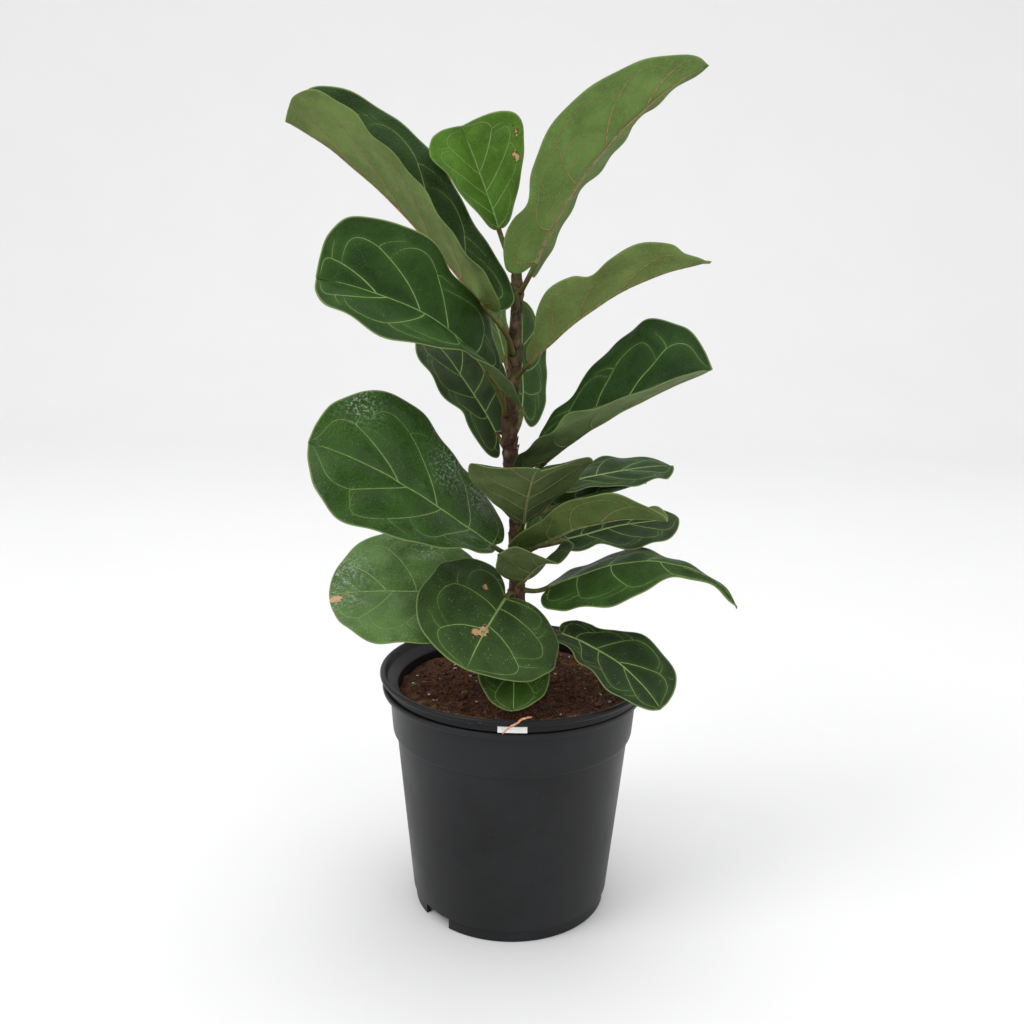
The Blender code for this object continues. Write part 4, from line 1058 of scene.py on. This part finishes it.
def drain_cutters(low, high, centre):
    """Upright cylinders round a centre, through a floor."""
    cutters = []
    for i in range(DRAIN_COUNT):
        angle = 2 * pi * (i + 0.37) / DRAIN_COUNT
        x, y = centre[0] + DRAIN_CIRCLE * cos(angle), centre[1] + DRAIN_CIRCLE * sin(angle)
        bm = bmesh.new()
        bmesh.ops.create_cone(bm, cap_ends=True, segments=40, radius1=DRAIN_RADIUS, radius2=DRAIN_RADIUS,
                              depth=high - low, matrix=Matrix.Translation((x, y, (low + high) / 2)))
        cutters.append(cutter_object(bm))
    return cutters


def body_radius(height):
    return np.interp(height, (0.0, BAND_LOW), (POT_FOOT_RADIUS, BODY_TOP_RADIUS))


def make_outer_pot():
    foot = POT_FOOT_RADIUS - FOOT_INSET
    inside = foot - FOOT_WIDTH
    profile = [
        (DRAIN_RADIUS, FOOT_HEIGHT), (inside, FOOT_HEIGHT), (inside, 0), (foot, 0),
        (foot, FOOT_HEIGHT - 0.6 * MM), (body_radius(FOOT_HEIGHT), FOOT_HEIGHT + 0.4 * MM),
        (body_radius(0.5 * BAND_LOW), 0.5 * BAND_LOW),
        (BODY_TOP_RADIUS, BAND_LOW), (POT_BAND_RADIUS - 0.4 * MM, BAND_LOW + 0.8 * MM),
        (POT_BAND_RADIUS, BAND_LOW + 2.4 * MM), (POT_NECK_RADIUS, LIP_LOW),
        (POT_LIP_RADIUS - 0.6 * MM, LIP_LOW + 0.8 * MM), (POT_LIP_RADIUS, POT_HEIGHT - 1.0 * MM),
        (POT_LIP_RADIUS - 0.8 * MM, POT_HEIGHT), (POT_NECK_RADIUS - 0.2 * MM, POT_HEIGHT - 0.6 * MM),
        (POT_NECK_RADIUS - POT_WALL, LIP_LOW - 0.8 * MM), (POT_BAND_RADIUS - POT_WALL, BAND_LOW + 2.8 * MM),
        (BODY_TOP_RADIUS - POT_WALL, BAND_LOW), (body_radius(FLOOR_TOP) - POT_WALL, FLOOR_TOP),
        (DRAIN_RADIUS, FLOOR_TOP),
    ]
    material = plastic_material("charcoal_plastic", (0.0130, 0.0135, 0.0145), 0.12)
    pot = lathe("outer_pot_wall", profile, (0.0, 0.0), material, 0.5 * MM)
    cut_holes(pot, [notch_cutter(a, foot) for a in NOTCH_ANGLES]
              + drain_cutters(FOOT_HEIGHT - 2 * MM, FLOOR_TOP + 2 * MM, (0, 0)))
    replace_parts(pot, "outer_pot")


def make_inner_pot():
    ring_in = RING_RADIUS - RING_WIDTH
    floor_top = INNER_FLOOR + INNER_WALL
    outside = [(inner_radius(z), z) for z in (INNER_FLOOR, BAND_LOW, BAND_LOW + 4 * MM, LIP_LOW, SHOULDER)]
    profile = [
        (DRAIN_RADIUS, INNER_FLOOR), *outside,
        (COLLAR_RADIUS, SHOULDER + 0.5 * MM), (COLLAR_RADIUS, RING_LOW), (RING_RADIUS - 0.9 * MM, RING_LOW),
        (RING_RADIUS, RING_LOW + 1.0 * MM), (RING_RADIUS, RING_TOP - 1.0 * MM),
        (RING_RADIUS - 0.9 * MM, RING_TOP), (ring_in + 0.8 * MM, RING_TOP), (ring_in, RING_TOP - 0.8 * MM),
        (ring_in - 1.8 * MM, SHOULDER + 4.0 * MM), (outside[-1][0] + 1.2 * MM, SHOULDER + 1.6 * MM),
        *((r - INNER_WALL, z) for r, z in outside[:0:-1]),
        (outside[0][0] - INNER_WALL, floor_top), (DRAIN_RADIUS, floor_top),
    ]
    material = plastic_material("black_plastic", (0.0085, 0.0085, 0.0090), 0.3)
    pot = lathe("inner_pot_wall", profile, INNER_SHIFT, material, 0.4 * MM)
    cut_holes(pot, drain_cutters(INNER_FLOOR - 2 * MM, floor_top + 2 * MM, INNER_SHIFT))
    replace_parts(pot, "inner_pot")


# ---------------------------------------------------------------- label and fibre
def make_label():
    """The blank label, bent round the collar, with its corners lifting a little."""
    s = Surface("blank_label", rough=0.55)
    where = s.place()
    grain = s.noise(where, 1800, 3)
    stain = s.noise(where, 160, 3)
    colour = s.blend(grain, (0.72, 0.72, 0.70), (0.84, 0.84, 0.83))
    colour = s.mix(s.squeeze(stain, 0.55, 0.72, 0, 0.35), colour, (0.50, 0.46, 0.40))
    material = s.finish(colour, None, s.bump(grain, 0.0001, 0.4))
    (x0, _, z0), (x1, _, z1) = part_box("pot_label")
    centre = np.array([*INNER_SHIFT, 0])
    inner = COLLAR_RADIUS + GAP
    left, right = (np.arcsin((x - INNER_SHIFT[0]) / inner) for x in (x0, x1))
    cols, rows = 41, 11
    sheets = []
    for depth in (0.0, 0.35 * MM):
        grid = []
        for t in np.arange(rows) / (rows - 1):
            for share in np.arange(cols) / (cols - 1):
                a = left + (right - left) * share
                curl = 0.25 * MM * (abs(2 * share - 1) ** 8) + 0.05 * MM * sin(9 * share + 3 * t)
                r = inner + 0.05 * MM + depth + curl
                grid.append(centre + np.array([r * sin(a), -r * cos(a), z0 + (z1 - z0) * t]))
        sheets.append(grid)
    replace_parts(new_piece("blank_label", closed_sheet(*sheets, rows, cols), material), "pot_label")


def make_fibre():
    """A stray root fibre over the ring: three thin strands twisted together, with thin ends."""
    material = crumb_material("copper_fibre", (0.40, 0.16, 0.085), (0.78, 0.42, 0.26), 0.5)
    ring, low, top = RING_RADIUS / MM, RING_LOW / MM, RING_TOP / MM
    # direction in degrees, distance from the axis, height
    route = ((-4.6, ring + 1.3, low - 3.0), (-3.0, ring + 1.3, low - 0.5), (-1.0, ring + 1.4, low + 2.0),
             (0.8, ring + 1.1, top - 0.2), (2.4, ring - 0.6, top + 1.3), (4.6, ring - 2.0, top + 1.6),
             (6.6, ring - 3.4, top + 1.3))
    share = np.linspace(0, 1, 60)
    turn, far, high = (np.interp(share, np.linspace(0, 1, len(route)), column) for column in zip(*route))
    turn = np.radians(turn)
    middle = np.stack([INNER_SHIFT[0] + far * MM * np.sin(turn),
                       INNER_SHIFT[1] - far * MM * np.cos(turn), high * MM], -1)
    parts = []
    for k in range(3):
        spin = share * 14 + 2 * pi * k / 3
        wrap = np.stack([np.cos(spin), np.sin(spin) * 0.6, np.sin(spin)], -1) * 0.28 * MM
        parts.append(tube(middle + wrap, (0.34 - 0.18 * np.abs(2 * share - 1) ** 3) * MM))
    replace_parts(new_piece("root_fibre_strands", joined(parts), material), "root_fibre")


# ---------------------------------------------------------------- stage, light and camera
def make_stage():
    """A pale floor that sweeps up into a backdrop."""
    s = Surface("pale_floor", 0.55, 0.2)
    grain = s.noise(s.place(), 4, 3)
    material = s.finish(s.mix(grain, (0.74, 0.74, 0.745), (0.77, 0.77, 0.77)))
    profile = [(-4.0, 0.0), (1.6, 0.0)]
    profile += [(1.6 + 1.4 * sin(t), 1.4 * (1 - cos(t))) for t in np.linspace(0, pi / 2, 24)[1:]]
    profile += [(3.0, 5.0)]
    points = [(x, y, z - 0.0002) for y, z in profile for x in (-6.0, 6.0)]
    faces = [(2 * i, 2 * i + 1, 2 * i + 3, 2 * i + 2) for i in range(len(profile) - 1)]
    mesh = bpy.data.meshes.new("floor")
    mesh.from_pydata(points, [], faces)
    mesh.materials.append(material)
    mesh.shade_smooth()
    add_object("floor", mesh)


def add_light(name, place, target, size, power):
    light = bpy.data.lights.new(name, "AREA")
    light.shape = "DISK"
    light.size = size
    light.energy = power
    obj = add_object(name, light)
    obj.location = place
    obj.rotation_euler = (Vector(target) - Vector(place)).to_track_quat("-Z", "Y").to_euler()


def make_lights():
    world = bpy.data.worlds.new("studio")
    world.use_nodes = True
    background = world.node_tree.nodes["Background"]
    background.inputs["Color"].default_value = (1, 1, 1, 1)
    background.inputs["Strength"].default_value = 1.06
    bpy.context.scene.world = world
    bpy.context.scene.view_settings.view_transform = "Standard"
    add_light("key", (-1.3, -0.9, 1.9), (0, 0, 0.25), 1.1, 17)
    add_light("fill", (1.6, -1.4, 1.0), (0, 0, 0.25), 1.6, 5)
    add_light("top", (0.2, 0.4, 2.3), (0, 0, 0.3), 1.4, 12)


CAMERA_PLACE = (-0.0025, -0.652, 0.407)
CAMERA_LENS = 38.67               # mm on a 36 mm wide sensor
CAMERA_PITCH = 13.2
CAMERA_ROLL = 0.97


def make_camera():
    data = bpy.data.cameras.new("camera")
    data.sensor_width = 36.0
    data.lens = CAMERA_LENS
    data.clip_start = 0.01
    camera = add_object("camera", data)
    turn = Matrix.Rotation(radians(90 - CAMERA_PITCH), 4, "X") @ Matrix.Rotation(radians(CAMERA_ROLL), 4, "Z")
    camera.matrix_world = Matrix.Translation(CAMERA_PLACE) @ turn
    bpy.context.scene.camera = camera


make_camera()
make_lights()
make_stage()
make_outer_pot()
make_inner_pot()
make_soil()
make_litter()
make_stem()
papery = papery_material()
make_scales(papery)
make_bud(papery)
green_veins = vein_material("veins_green", (0.190, 0.300, 0.085), (0.215, 0.205, 0.080))
tan_veins = vein_material("veins_tan", (0.170, 0.265, 0.075), (0.245, 0.150, 0.065))
for leaf_name, leaf_looks in LOOKS.items():
    one_leaf = Leaf(leaf_name, **leaf_looks)
    leaf_blade(leaf_name, one_leaf, leaf_looks)
    leaf_veins(leaf_name, one_leaf, tan_veins if leaf_name in TAN_BELOW else green_veins)
make_label()
make_fibre()
